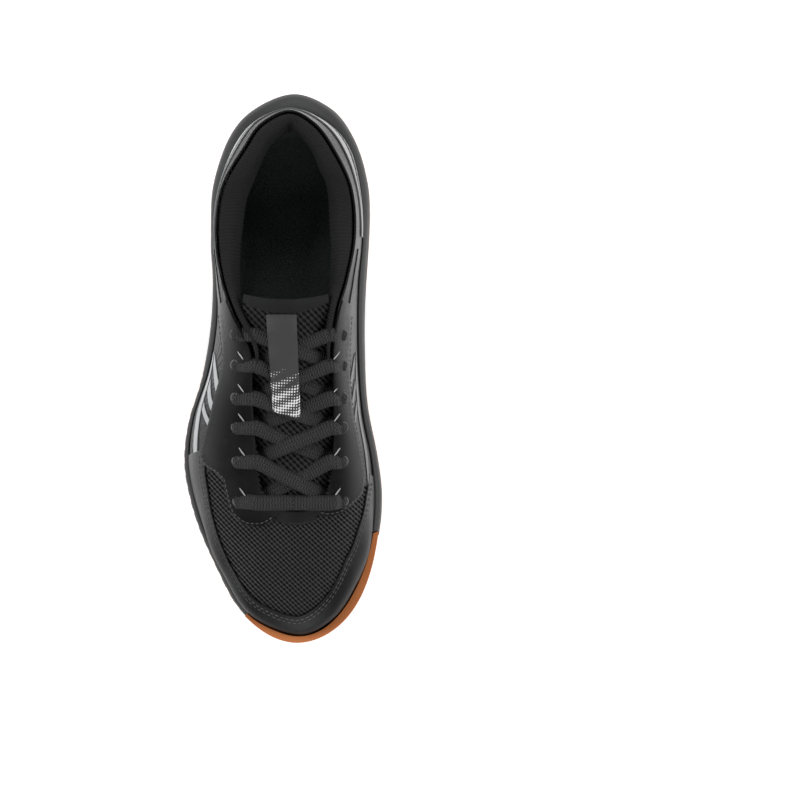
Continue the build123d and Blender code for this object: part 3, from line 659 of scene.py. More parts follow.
class CourtShoeColours(bpy.types.PropertyGroup):
    black: FloatVectorProperty(name="Upper", subtype="COLOR", size=3, default=(0.012, 0.012, 0.0125),
                               description="Smooth black synthetic of the upper")
    mesh_yarn: FloatVectorProperty(name="Mesh yarn", subtype="COLOR", size=3,
                                   default=(0.040, 0.040, 0.042),
                                   description="Yarn of the open mesh")
    lining: FloatVectorProperty(name="Lining", subtype="COLOR", size=3,
                                default=(0.013, 0.013, 0.0135),
                                description="Knit of the collar and lining")
    sole_foam: FloatVectorProperty(name="Midsole", subtype="COLOR", size=3,
                                   default=(0.013, 0.0135, 0.0142),
                                   description="Moulded foam of the midsole")
    gum: FloatVectorProperty(name="Gum rubber", subtype="COLOR", size=3,
                             default=(0.50, 0.16, 0.042), description="Rubber of the outsole")
    silver: FloatVectorProperty(name="Silver film", subtype="COLOR", size=3,
                                default=(0.36, 0.37, 0.38), description="Bright side trim")


def sizes():
    return bpy.context.scene.court_shoe_sizes


# ---------------------------------------------------------------- upper
HOLE_LEAN, HOLE_SLANT = 0.16, 0.26           # how the mesh's rows lean and its holes slant
TONGUE_HOLE_ACROSS, TONGUE_HOLE_ALONG, TONGUE_HOLE_DEPTH = 0.0038, 0.0034, 0.0006

# Edges of the panels: (place on the ring, share of the way up)
TOE_GUARD_TOP = [(8.9, 0.50), (9.5, 0.47), (10, 0.46), (11, 0.40), (12, 0.34), (13, 0.36),
                 (14, 0.36), (15, 0.44), (16, 0.52), (17, 0.50), (18, 0.40), (18.6, 0.30)]
FACING_OUTER = [(5.6, 0.62), (7, 0.60), (8.2, 0.55), (9.0, 0.42), (9.3, 0.47), (9.6, 0.60),
                (9.9, 0.67), (11, 0.67), (11.6, 0.73), (12.2, 0.83), (12.8, 0.96)]
FACING_INNER = [(15.5, 0.96), (16.2, 0.88), (16.6, 0.83), (17, 0.76), (17.5, 0.66), (18, 0.50),
                (18.5, 0.42), (19, 0.50), (20, 0.56), (21.5, 0.60), (22.4, 0.62)]
THROAT_LOW = [(12.3, 0.99), (12.9, 0.93), (15.3, 0.93), (16.0, 0.99)]
FILM_LOW = [(-4, 0.30), (-2, 0.17), (2, 0.17), (4, 0.30)]
FILM_HIGH = [(-4, 0.52), (-2, 0.68), (0, 0.74), (2, 0.68), (4, 0.52)]
LINE_LOW = [(1.2, 0.735), (2.4, 0.70), (4.4, 0.52)]
LINE_HIGH = [(1.2, 0.745), (2.4, 0.725), (4.4, 0.535)]
TRIM_DEPTH = -0.55                           # how deep thin trim lies: it stands off the skin


def mesh_holes(pitch_x, pitch_y, depth):
    """Relief of the open mesh: staggered holes seen from above."""
    def relief(point, u, v):
        turn_x = FULL_TURN * point.x / pitch_x
        turn_y = FULL_TURN * (point.y + HOLE_LEAN * point.x) / pitch_y
        cell = cos(turn_x) * cos(turn_y) - HOLE_SLANT * sin(turn_x) * sin(turn_y)
        return depth / MM * step_up(-0.05, 0.40, cell)
    return relief


def guard_bulge(point, u, v):
    """How far the toe guard swells out from the skin, as a negative depth."""
    return (-(2.2 + 1.2 * step_up(0.5, 0.7, u)) * step_up(0.22, 0.45, v)
            * (1 - step_up(0.5, 1.0, v)) * step_up(0.12, 0.3, u) * (1 - step_up(0.80, 0.93, u)))


class COURT_SHOE_OT_upper(bpy.types.Operator):
    """Build the quarters and the open mesh of the vamp"""
    bl_idname = "court_shoe.upper"
    bl_label = "Upper"

    def execute(self, context):
        s = sizes()
        holes = mesh_holes(s.hole_across, s.hole_along, s.hole_depth)
        build_panels((
            ("vamp_shell", "open_mesh_yarn", "open_mesh", ["vamp_mesh"], (9.3, 18.35),
             (0.02, 1.0), 0.35, (230, 165), holes, 0.0009, 0),
            ("quarter_skin_lateral", "ribbed_synthetic", "black_synthetic", ["quarter_lateral"],
             (0, 9.55), (0.02, 1.0), 0.0, (230, 46), None, 0.0011, 0),
            ("quarter_skin_medial", "black_synthetic", "black_synthetic", ["quarter_medial"],
             (18.2, TURN), (0.02, 1.0), 0.0, (230, 46), None, 0.0011, 0),
            ("toe_lining", "lining_cloth", "lining_knit", ["vamp_lining"], (9.7, 18.3),
             (0.04, 0.86), 2.9, (120, 40), None, 0.0006, 0)))
        return {"FINISHED"}


def ankle_outline(start, end):
    """A panel that narrows to a blunt tip between two places on the ring."""
    def where(u, v):
        low, high = 0.44 + 0.16 * u, 0.72 - 0.02 * u
        pinch = 1 - step_up(0.82, 1.0, u) * 0.85
        share = (low + high) / 2 + (high - low) * (v - 0.5) * pinch
        return skin(start + (end - start) * u, share, TRIM_DEPTH)
    return where


class COURT_SHOE_OT_overlays(bpy.types.Operator):
    """Build the toe guard, the facings beside the laces and the ankle panels"""
    bl_idname = "court_shoe.overlays"
    bl_label = "Toe Guard and Facings"

    def execute(self, context):
        black = "black_synthetic"
        build_panels((
            ("toe_guard", "toe_synthetic", black, ["toe_cap"], (8.9, 18.6),
             (0.05, TOE_GUARD_TOP), -0.75, (260, 30), guard_bulge, 0.0009, 0.0003),
            ("facing_lateral", black, black, ["eyestay_lateral"], (5.6, 12.8),
             (FACING_OUTER, 1.002), -0.85, (200, 20), None, 0.0010, 0.0003),
            ("facing_medial", black, black, ["eyestay_medial"], (15.5, 22.4),
             (FACING_INNER, 1.002), -0.85, (200, 20), None, 0.0010, 0.0003),
            ("throat_binding", black, black, [], (12.3, 16.0),
             (THROAT_LOW, 1.004), -0.2, (60, 8), None, 0.0012, 0)))
        for side, start, end in (("lateral", 4.3, 6.6), ("medial", 23.7, 21.4)):
            bm = fitted_grid(70, 16, ankle_outline(start, end))
            if side == "medial":
                flip(bm)
            panel("ankle_panel_" + side, bm, ["toe_synthetic"], black, [], 0.0006, 0.0002,
                  bends=False)
        return {"FINISHED"}


def heel_slot(u, v):
    """1 inside the long slots on each side of the heel film, 0 outside."""
    inside = 0.0
    for middle in (0.26, 0.74):
        across = abs(u - middle) / 0.17
        up = abs(v - (0.50 - 0.10 * (1 - across))) / 0.16
        inside = max(inside, 1 - step_up(0.8, 1.0, hypot(across ** 2, up ** 2)))
    return inside


# Side trim, in places and shares: start, length, lower edge, height, slant.  The first is a
# long leaf, and the others are slanted dashes.
BLADES = [(-0.4, 3.1, 0.24, 0.09, 0.0), (0.10, 0.24, 0.36, 0.26, 0.9),
          (0.62, 0.21, 0.37, 0.24, 0.8), (1.08, 0.18, 0.38, 0.22, 0.7)]
BLADE_BASE = 7.0


def blade_outline(base, turn, start, length, low, height, slant):
    def where(u, v):
        swell = 1.0 if slant else sin(pi * min(1, u * 0.9 + 0.05)) ** 0.7
        rise = 0.0 if slant else 0.06 * u
        at = start + length * u + slant * (v - 0.5)
        share = low + height * (0.5 + (v - 0.5) * swell) + rise
        return skin(base + turn * at, share, TRIM_DEPTH)
    return where


class COURT_SHOE_OT_heel_trim(bpy.types.Operator):
    """Build the glossy heel film, its edge line and the side blades"""
    bl_idname = "court_shoe.heel_trim"
    bl_label = "Heel Film and Side Trim"

    def execute(self, context):
        bm = patch(-4, 4, FILM_LOW, FILM_HIGH, -0.9, 400, 84,
                   lambda point, u, v: 0.75 * heel_slot(u, v))
        uv = bm.loops.layers.uv.active
        for face in bm.faces:
            corners = [loop[uv].uv for loop in face.loops]
            u, v = (sum(corner[axis] for corner in corners) / len(corners) for axis in (0, 1))
            if heel_slot(u, v) > 0.5:
                face.material_index = 1
        panel("heel_wrap", bm, ["heel_gloss", "black_synthetic"], "heel_gloss", ["heel_film"],
              0.0008, 0.0002, bends=False)
        bm = patch(1.2, 4.4, LINE_LOW, LINE_HIGH, -0.8, 90, 5)
        panel("heel_edge_line", bm, ["silver_film"], "silver_film", ["heel_piping"], 0.0006,
              0.0002, bends=False)
        for side, finish, base, turn in (("lateral", "silver_film", BLADE_BASE, 1),
                                         ("medial", "grey_film", TURN - BLADE_BASE, -1)):
            bm = bmesh.new()
            spare = bpy.data.meshes.new("spare")
            for blade in BLADES:
                slant = blade[-1]
                part = fitted_grid(14 if slant else 60, 10, blade_outline(base, turn, *blade))
                if turn < 0:
                    flip(part)
                part.to_mesh(spare)
                part.free()
                bm.from_mesh(spare)
            bpy.data.meshes.remove(spare)
            panel("side_blades_" + side, bm, [finish], finish, ["side_trim_" + side], 0.0005,
                  0.00015)
        return {"FINISHED"}


# ---------------------------------------------------------------- collar
PADDED_SHARES = [0.05, 0.2, 0.35, 0.5, 0.62, 0.74, 0.86]
PADDED_SWELL = [0, 0, 0, 0.12, 0.42, 0.74, 0.9]
PADDED_CREST = [(0.78, 0.2), (0.45, 2.2), (0.12, 1.4)]       # share of the padding, height
FULLER = [(0, 1.0), (2, 1.04), (3, 1.22), (4, 1.14), (5, 0.95), (6, 1.0)]
COLLAR_PADDING = 10.0
COLLAR_DEPTH = SKIN + GLUE + 1.4 + GLUE + 0.9
COLLAR_END, COLLAR_COLUMNS = 7.3, 960


def collar_row(place):
    """Points of the collar's section, from the footbed up and over the padded roll."""
    rib = Rib.find(place)
    ring = abs((place + TURN / 2) % TURN - TURN / 2)
    beyond = max(0.0, ring - 6.0)
    pad = COLLAR_PADDING * max(0.50 - 0.30 * max(0.0, beyond - 0.6), rib.padding)
    pad *= read_curve(FULLER, ring)
    lift = 0.72 * min(1.0, beyond / 0.5)
    wall = [rib.at(t + (1 - t) * lift, COLLAR_DEPTH + pad * swell)
            for t, swell in zip(PADDED_SHARES, PADDED_SWELL)]
    start = rib.reach + SKIN + GLUE
    crest = [(start + share * pad, rib.rise + up) for share, up in PADDED_CREST]
    return wall + crest + [(start + 0.2, rib.rise - 1.5)], rib


class COURT_SHOE_OT_collar(bpy.types.Operator):
    """Build the padded collar with its ribbed knit"""
    bl_idname = "court_shoe.collar"
    bl_label = "Collar"

    def execute(self, context):
        s = sizes()

        def place_at(u):
            return 2 * COLLAR_END * u - COLLAR_END
        ribs = [Rib.find(place_at(i / COLLAR_COLUMNS)) for i in range(COLLAR_COLUMNS + 1)]
        run = lengths_along([Vector((rib.tx, rib.ty, rib.top)) * MM for rib in ribs])

        def where(u, v):
            rows, rib = collar_row(place_at(u))
            length = run[round(u * COLLAR_COLUMNS)]
            ridge = (1 - cos(FULL_TURN * length / s.knit_pitch)) / 2
            out, up = along(rows, v)
            near = along(rows, min(1.0, v + 0.01))
            before = along(rows, max(0.0, v - 0.01))
            slope_out, slope_up = near[0] - before[0], near[1] - before[1]
            size = hypot(slope_out, slope_up) or 1.0
            sink = s.knit_relief / MM * ridge * step_up(0.45, 0.55, v)
            return rib.spot(out - sink * slope_up / size, up + sink * slope_out / size)
        bm = fitted_grid(COLLAR_COLUMNS, 40, where, uv_size=(run[-1], 0.07))
        flip(bm)
        collar = add_piece("collar_roll", bm, "collar_knit")
        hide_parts("collar_lining", "collar_foam")
        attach(collar, "shoe")
        return {"FINISHED"}


# ---------------------------------------------------------------- tongue
TONGUE_START, TONGUE_END, TONGUE_TIP = -71.5, 21.4, 37.0     # places along the shoe
FOLDED_PART = 0.42           # share of the end's section that shows on top
END_SECTION = [(0.0, 0.0), (0.30, 0.1), (0.55, 0.3), (0.80, 0.0), (0.95, -1.3), (1.0, -3.4),
               (0.93, -5.4), (0.75, -6.2), (0.4, -6.0), (0.0, -5.6)]      # share, drop


def fold_line(x, middle, half):
    """Where the lining folded over the tongue's end begins."""
    return 26.6 + 6.0 * ((x - middle) / half) ** 2


class COURT_SHOE_OT_tongue(bpy.types.Operator):
    """Build the padded mesh tongue with the lining folded over its end"""
    bl_idname = "court_shoe.tongue"
    bl_label = "Tongue"

    def execute(self, context):
        holes = mesh_holes(TONGUE_HOLE_ACROSS, TONGUE_HOLE_ALONG, TONGUE_HOLE_DEPTH)
        first = TONGUE_STATIONS[0][0]

        def pad_spot(u, v):
            y = TONGUE_START + (TONGUE_END - TONGUE_START) * v
            _, middle, half = tongue_row(max(y, first))
            side = 2 * u - 1
            x = middle + half * side
            z = tongue_z(x, max(y, first)) - 2.2 * abs(side) ** 7 + 0.7 * cos(side * pi / 2)
            point = Vector((x, y, z)) * MM
            point.z -= holes(point, u, v) * MM
            return point
        bm = fitted_grid(130, 250, pad_spot)
        pad = add_piece("tongue_pad", bm, "tongue_mesh_yarn")
        thicken(pad, 0.0052)
        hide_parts("tongue_mesh", "tongue_foam", "tongue_lining")
        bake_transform(pad)

        _, middle, end_half = tongue_row(TONGUE_END)

        def end_spot(u, v):
            share, drop = along(END_SECTION, v)
            side = 2 * u - 1
            half = end_half + 0.9 * share - 3.2 * max(0.0, share - 0.7)
            x = middle + half * side
            stop = TONGUE_TIP - 3.0 * (1 - side * side)
            y = TONGUE_END + (stop - TONGUE_END) * share
            z = tongue_z(x, y) - 1.2 * abs(side) ** 7 + 0.7 * cos(side * pi / 2)
            point = Vector((x, y, z + drop * (1 - 0.25 * side ** 6))) * MM
            if v < FOLDED_PART:
                over = step_up(-0.4, 0.5, y - fold_line(x, middle, half))
                point.z += (0.5 * over - (1 - over) * holes(point, u, v)) * MM
            return point
        bm = fitted_grid(130, 130, end_spot)
        uv = bm.loops.layers.uv.active
        for face in bm.faces:
            spot = face.calc_center_median() / MM
            over = spot.y > fold_line(spot.x, middle, end_half)
            if over or max(loop[uv].uv.y for loop in face.loops) > FOLDED_PART:
                face.material_index = 1
        end = add_piece("tongue_end", bm, "tongue_mesh_yarn", "collar_knit")
        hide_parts("tongue_top")
        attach(end, "tongue_tip")
        return {"FINISHED"}


LABEL_TOP, LABEL_MIDDLE = 26.3, 26.1
LABEL_LIFT = [(-27, 3.4), (-22, 4.3), (18, 4.3), (21, 3.2), (24.5, 1.6), (27, 1.3)]


class COURT_SHOE_OT_label(bpy.types.Operator):
    """Build the label strip that keeps the laces in the middle"""
    bl_idname = "court_shoe.label"
    bl_label = "Label Strip"

    def execute(self, context):
        def where(u, v):
            low = -23.2 - 3.2 * u + 1.6 * abs(2 * u - 1) ** 6
            y = low + (LABEL_TOP - low) * v
            left = -5.8 + (LABEL_MIDDLE - y) * 0.060
            right = 9.5 + (LABEL_MIDDLE - y) * 0.034
            x = left + (right - left) * u
            z = (tongue_z(x, y) + read_curve(LABEL_LIFT, y) - 0.7 * abs(2 * u - 1) ** 3
                 + 0.35 * sin(y * 0.35))
            return Vector((x, y, z)) * MM
        label = add_piece("label_strip", fitted_grid(30, 90, where), "label_cloth")
        thicken(label, 0.0007, offset=0.0)
        soften(label, 0.0002)
        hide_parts("tongue_label")
        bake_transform(label)
        return {"FINISHED"}


# ---------------------------------------------------------------- laces
OUTER_EYELET, INNER_EYELET = -22.5, 33.0
THROAT_MIDDLE, THROAT_HALF = 7.2, 20.4


def edge_top(y, side):
    """Height of the throat's edge on one side (-1 outer, 1 inner)."""
    places = [6 + i / 8 for i in range(65)] if side < 0 else [22 - i / 8 for i in range(65)]
    return read_curve(sorted((Rib.find(place).ty, Rib.find(place).top) for place in places), y)


def skin_top(x, y):
    """Height of the outer skin above a point of the plan."""
    first = 6 if x < THROAT_MIDDLE else 14
    spots = (skin(place / 12, share / 100) for place in range(first * 12, (first + 8) * 12)
             for share in range(55, 101))
    return min(spots, key=lambda p: hypot(p.x / MM - x, p.y / MM - y)).z / MM


LACE_SIDES = 16              # corners round the lace's flat section
LACE_STEPS = 54              # steps along one visible run
RIM_RADIUS, RIM_TUBE = 0.0023, 0.00055       # an eyelet rim, in metres


def strand(bm, path, width, thickness, hint, fold=0.45):
    """One visible run of the flat lace, narrower where it folds into an eyelet."""
    uv = bm.loops.layers.uv.active
    spots = [Vector(along(path, i / LACE_STEPS)) for i in range(LACE_STEPS + 1)]
    half = LACE_STEPS // 2
    flip = -1 if hint.cross(spots[half + 1] - spots[half - 1]).z < 0 else 1
    lengths = lengths_along(spots)
    grid = bmesh.ops.create_grid(bm, x_segments=LACE_SIDES, y_segments=LACE_STEPS,
                                 size=0.5)["verts"]
    for vert in grid:
        step = round((vert.co.y + 0.5) * LACE_STEPS)
        for loop in vert.link_loops:
            loop[uv].uv = (vert.co.x + 0.5, lengths[step] * MM)
        run = (spots[min(step + 1, LACE_STEPS)] - spots[max(step - 1, 0)]).normalized()
        across = (hint - run * hint.dot(run)).normalized()
        up = across.cross(run) * flip
        squeeze = 1 - fold * step_up(0.80, 1.0, step / LACE_STEPS)
        pick = 0.09 * sin(FULL_TURN * lengths[step] / 1.5)
        turn = FULL_TURN * (vert.co.x + 0.5)
        c, sn = cos(turn), sin(turn)
        wide = width / 2 * squeeze * abs(c) ** 0.6 * (1 if c > 0 else -1)
        tall = (thickness / 2 / squeeze ** 0.5 + pick) * abs(sn) ** 0.75 * (1 if sn > 0 else -1)
        cup = -0.25 * c * c
        vert.co = (spots[step] + across * wide + up * (tall + cup)) * MM
    bmesh.ops.remove_doubles(bm, verts=grid, dist=WELD)
    rim = {edge for vert in grid if vert.is_valid for edge in vert.link_edges
           if edge.is_boundary}
    bmesh.ops.holes_fill(bm, edges=list(rim), sides=LACE_SIDES)


def over_facing(side, y):
    """Points over the throat's edge, along the facing and down into the eyelet."""
    eyelet = OUTER_EYELET if side < 0 else INNER_EYELET
    edge, top = THROAT_MIDDLE + side * THROAT_HALF, edge_top(y, side)
    hole = skin_top(eyelet, y)
    return [(edge - side * 2.5, y - 0.8, top + 1.3),
            (edge + side * 1.5, y - 0.3, top * 0.75 + hole * 0.25 + 2.1),
            (eyelet - side * 1.5, y, hole + 2.2), (eyelet + side * 0.6, y, hole + 0.9),
            (eyelet + side * 0.9, y + 0.2, hole - 1.2)]


def crossing(side, y, above, upper):
    """Points from under one edge of the throat, over the tongue, to the row above."""
    start = THROAT_MIDDLE + side * (THROAT_HALF - 2.4)
    path = [(start + side * 2.6, y + 1.4, edge_top(y, side) - 3.6),
            (start - side * 1.2, y + 2.6, edge_top(y, side) - 3.4)]
    for across, share in ((0.42, 0.32), (0.0, 0.52), (-0.45, 0.74)):
        x, at = THROAT_MIDDLE + side * across * THROAT_HALF, y + (above - y) * share
        lift = 0.95 + 1.45 * upper * (1 - abs(across) * 0.6)
        path.append((x, at, tongue_z(x, at) + lift))
    return path + over_facing(-side, above)


class COURT_SHOE_OT_laces(bpy.types.Operator):
    """Thread the flat lace through its six rows of eyelets"""
    bl_idname = "court_shoe.laces"
    bl_label = "Laces"

    def execute(self, context):
        s = sizes()
        width, thick = s.lace_width / MM, s.lace_thickness / MM
        bm = bmesh.new()
        bm.loops.layers.uv.new("UVMap")
        y = LACE_ROWS[0]
        middle = (THROAT_MIDDLE, y - 0.6, tongue_z(THROAT_MIDDLE, y) + 2.6)
        for side in (1, -1):
            strand(bm, [middle] + over_facing(side, y), width, thick, Vector((0, 1, 0)))
        for row, (y, above) in enumerate(zip(LACE_ROWS, LACE_ROWS[1:])):
            for side in (-1, 1):
                path = crossing(side, y, above, (row + (side > 0)) % 2)
                lean = Vector((side * 0.21, 1, 0)).normalized()
                strand(bm, path, width * (0.92 if row > 2 else 1.0), thick, lean)
        bmesh.ops.recalc_face_normals(bm, faces=bm.faces[:])
        laces = add_piece("flat_lace", bm, "lace_weave")
        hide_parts("lace", "lace_tips")
        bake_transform(laces)

        bm = bmesh.new()
        tube = (Matrix.Translation((RIM_RADIUS, 0, 0)) @ Matrix.Rotation(pi / 2, 4, "X"))
        for side, x in ((-1, OUTER_EYELET), (1, INNER_EYELET)):
            for y in LACE_ROWS:
                ring = bmesh.ops.create_circle(bm, segments=8, radius=RIM_TUBE,
                                               matrix=tube)["verts"]
                edges = list({edge for vert in ring for edge in vert.link_edges})
                bmesh.ops.spin(bm, geom=ring + edges, cent=(0, 0, 0), axis=(0, 0, 1),
                               angle=FULL_TURN, steps=24, use_merge=True)
                fresh = [vert for vert in bm.verts if not vert.tag]
                place = Matrix.Translation(Vector((x, y, skin_top(x, y) + 1.15)) * MM)
                tilt = Matrix.Rotation(side * radians(34), 4, "Y")
                bmesh.ops.transform(bm, verts=fresh, matrix=place @ tilt)
                for vert in fresh:
                    vert.tag = True
        bmesh.ops.recalc_face_normals(bm, faces=bm.faces[:])
        settle(add_piece("eyelet_rims", bm, "stitch_thread"), "black_synthetic")
        return {"FINISHED"}


# ---------------------------------------------------------------- stitching
# Rows of stitches: line, offset from it, depth, first and last place
SEAMS = ((TOE_GUARD_TOP, -0.022, -1.68, 9.0, 18.5), (TOE_GUARD_TOP, -0.052, -1.68, 9.0, 18.5),
         (FACING_OUTER, 0.030, -1.86, 5.8, 12.6), (FACING_INNER, 0.030, -1.86, 15.7, 22.2))
SEAM_STEPS = 900
STITCH_RADIUS, GLINT_RADIUS = 0.00028, 0.00035


class COURT_SHOE_OT_stitching(bpy.types.Operator):
    """Sew the double rows round the toe guard and single rows along the facings"""
    bl_idname = "court_shoe.stitching"
    bl_label = "Stitching"

    def execute(self, context):
        s = sizes()
        bm = bmesh.new()
        for line, offset, depth, first, last in SEAMS:
            places = [first + (last - first) * i / SEAM_STEPS for i in range(SEAM_STEPS + 1)]
            spots = [skin(place, read_curve(line, place) + offset, depth) for place in places]
            start, begun = None, 0.0
            for spot, run in zip(spots[1:], lengths_along(spots)[1:]):
                if start is None and run - begun >= s.stitch_pitch - s.stitch_length:
                    start, begun = spot, run
                elif start is not None and run - begun >= s.stitch_length:
                    sausage(bm, start, spot, STITCH_RADIUS, 6)
                    start, begun = None, run
        settle(add_piece("stitches", bm, "stitch_thread"), "black_synthetic")

        # Light grey strips beside the eyelets on the facings: painted highlights that stand in for
        # glints on the facings' edges.
        bm = bmesh.new()
        for side, x in ((-1, -21.0), (1, 31.4)):
            for y in LACE_ROWS[:5]:
                ends = [Vector((x, y + 7.0, 0)), Vector((x - side * 3.2, y + 2.6, 0))]
                for spot in ends:
                    spot.z = skin_top(spot.x, spot.y) + 1.75
                sausage(bm, ends[0] * MM, ends[1] * MM, GLINT_RADIUS, 8)
        settle(add_piece("facing_painted_glints", bm, "painted_glint_strip"), "silver_film")
        return {"FINISHED"}


# ---------------------------------------------------------------- sole
# The wall's section: share of the way in from the sole's edge, inset, share of the height
WALL = [(0.9, 0, 0.0), (0.25, 0, 0.0), (0.0, 0.4, 0.0), (0.0, 0.0, 0.07), (0.0, 0.05, 0.22),
        (0.0, 0.15, 0.33), (0.0, 1.0, 0.37), (0.0, 1.0, 0.42), (0.0, 0.15, 0.46), (0.0, 0.1, 0.60),
        (0.06, 0.2, 0.76), (0.22, 0.2, 0.89), (0.5, 0.2, 0.97), (0.86, 0, 1.0), (1.0, 0.2, 0.93),
        (1.0, 0.4, 0.5)]
WALL_TOP = 6.0               # height of the wall above the footbed's underside
EDGE_STEPS, WALL_COLUMNS = 520, 560
BED_INSET, BED_CUP = 4.6, 3.2
LEAST_EDGE, MOST_EDGE = 3.0, 40


def sole_edge(rib, outline):
    """How far the sole stands out from the feather edge at a rib, in millimetres."""
    best = LEAST_EDGE
    dx, dy = -rib.dx, -rib.dy
    for (x0, y0), (x1, y1) in zip(outline, outline[1:] + outline[:1]):
        ex, ey = x1 - x0, y1 - y0
        bottom = dx * ey - dy * ex
        if abs(bottom) < 1e-9:
            continue
        t = ((x0 - rib.fx) * ey - (y0 - rib.fy) * ex) / bottom
        s = ((x0 - rib.fx) * dy - (y0 - rib.fy) * dx) / bottom
        if 0 <= s <= 1 and 0 < t < MOST_EDGE:
            best = max(best, t)
    return best


def bed_spot(u, v):
    """Point of the insole's top, from its spine out to its cupped edge."""
    rib = Rib.find(TURN * u)
    x, y = rib.fx + rib.dx * BED_INSET, rib.fy + rib.dy * BED_INSET
    spine = (4.0 + 3.0 * abs(y) / HALF_LENGTH, min(max(y, -108), 104) * 0.94)
    px, py = spine[0] + (x - spine[0]) * v, spine[1] + (y - spine[1]) * v
    cup = BED_CUP * step_up(0.72, 1.0, v) + 0.2 * sin(px * 0.3) * (1 - v)
    return Vector((px, py, bed(py) + 6.1 + cup)) * MM


def frame_copy(node):
    """A welded bmesh of one of the frame's pieces."""
    bm = bmesh.new()
    bm.from_mesh(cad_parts[node].data)
    weld(bm, FRAME_WELD)
    return bm


class COURT_SHOE_OT_sole(bpy.types.Operator):
    """Build the moulded midsole wall and finish the outsole"""
    bl_idname = "court_shoe.sole"
    bl_label = "Sole"

    def execute(self, context):
        outline = [tuple(along(SOLE_OUTLINE, i / EDGE_STEPS, closed=True))
                   for i in range(EDGE_STEPS)]
        reach = [sole_edge(Rib.find(TURN * i / WALL_COLUMNS), outline)
                 for i in range(WALL_COLUMNS)]
        reach.append(reach[0])

        def where(u, v):
            place = TURN * u
            rib = Rib.find(place)
            share, inset, height = along(WALL, v)
            ring = min(place, TURN - place)
            low, high = OUTSOLE + spring(rib.fy) + GLUE, bed(rib.fy) + WALL_TOP
            if 0.3 < height < 0.5 and share < 0.1:       # the groove rises and falls
                height += 0.12 * cos(pi * ring / 7)
            out = (reach[round(u * WALL_COLUMNS)] + 0.45) * (1 - share) - inset
            behind = step_up(13.0, 13.12, place) * (1 - step_up(17.19, 17.28, place))
            out += (min(out, 0.3) - out) * behind        # tucked in behind the toe bumper
            if 0.46 < height < 0.80 and ring > 7.0:      # shallow flutes beside the forefoot
                out -= 0.45 * step_up(0.2, 0.9, cos(FULL_TURN * place * 3.0))
            if share > 0.99:
                out = -0.1
            return rib.spot(-out, low + (high - low) * height - rib.foot)
        bm = fitted_grid(WALL_COLUMNS, 46, where)
        weld(bm)
        bmesh.ops.recalc_face_normals(bm, faces=bm.faces[:])
        settle(add_piece("sole_wall", bm, "sole_foam"), "sole_foam", ["midsole"])

        bm = fitted_grid(300, 60, bed_spot)
        weld(bm)
        for face in bm.faces:
            if face.normal.z < 0:
                face.normal_flip()
        settle(add_piece("footbed", bm, "insole_cloth"), "insole_cloth", ["insole"])
        for node, name, finish, slot in (
                ("outsole_forefoot", "tread_forefoot", "gum_rubber", "gum_rubber"),
                ("strobel_board", "bottom_board", "board_felt", "board_felt"),
                ("toe_puff", "toe_stiffener", "stiff_sheet", "stiffener"),
                ("outsole_toe", "tread_toe", "gum_rubber", "gum_rubber")):
            bm = frame_copy(node)
            if name == "tread_toe":
                trim_bumper(bm)
            piece = add_piece(name, bm, finish)
            mark_creases(piece)
            settle(piece, slot, [node])
        return {"FINISHED"}


BUMPER_LEVEL = 0.0125        # above this height the toe bumper starts further forward
BUMPER_START = (-0.0185, -0.1295, 0.0)
CREASE = radians(35)


def trim_bumper(bm):
    """Cut the raised bumper back to where it starts, and leave the tread under it whole."""
    upper = bmesh.ops.duplicate(bm, geom=bm.verts[:] + bm.edges[:] + bm.faces[:])["geom"]
    whole = [part for part in bm.verts[:] + bm.edges[:] + bm.faces[:] if part not in set(upper)]
    cuts = ((whole, (0, 0, BUMPER_LEVEL), (0, 0, 1)), (upper, (0, 0, BUMPER_LEVEL), (0, 0, -1)),
            (None, BUMPER_START, (-0.75, 0.66, 0)))
    for geometry, place, normal in cuts:
        if geometry is None:
            geometry = [part for part in bm.verts[:] + bm.edges[:] + bm.faces[:]
                        if part.is_valid and above(part)]
        cut = bmesh.ops.bisect_plane(bm, geom=geometry, plane_co=place, plane_no=normal,
                                     clear_outer=True)["geom_cut"]
        rim = [part for part in cut if isinstance(part, bmesh.types.BMEdge) and part.is_boundary]
        bmesh.ops.triangle_fill(bm, edges=rim, use_beauty=True, use_dissolve=False)
    bmesh.ops.recalc_face_normals(bm, faces=bm.faces[:])


def above(part):
    """Whether a corner, edge or face lies above the bumper's level."""
    spots = [part] if isinstance(part, bmesh.types.BMVert) else part.verts
    return min(spot.co.z for spot in spots) > BUMPER_LEVEL - 0.00001


def mark_creases(piece):
    """Keep the moulded edges crisp and the curved faces smooth."""
    bm = bmesh.new()
    bm.from_mesh(piece.data)
    for edge in bm.edges:
        edge.smooth = len(edge.link_faces) == 2 and edge.calc_face_angle(0) < CREASE
    bm.to_mesh(piece.data)
    bm.free()


INNER_FINISHES = {
    "outsole_heel": "gum_rubber", "midfoot_shank": "shank_plastic", "heel_gel_pad": "cushion_gel",
    "heel_counter": "stiff_sheet",
}


class COURT_SHOE_OT_frame_finishes(bpy.types.Operator):
    """Give the moulded pieces of the frame their finishes"""
    bl_idname = "court_shoe.frame_finishes"
    bl_label = "Frame Finishes"

    def execute(self, context):
        for node, finish in INNER_FINISHES.items():
            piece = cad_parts[node]
            if not piece.material_slots:
                piece.data.materials.append(FINISHES[finish])
            for holder in piece.material_slots:
                holder.link = "OBJECT"
                holder.material = FINISHES[finish]
            piece.modifiers.new("Weld", "WELD").merge_threshold = FRAME_WELD
        return {"FINISHED"}


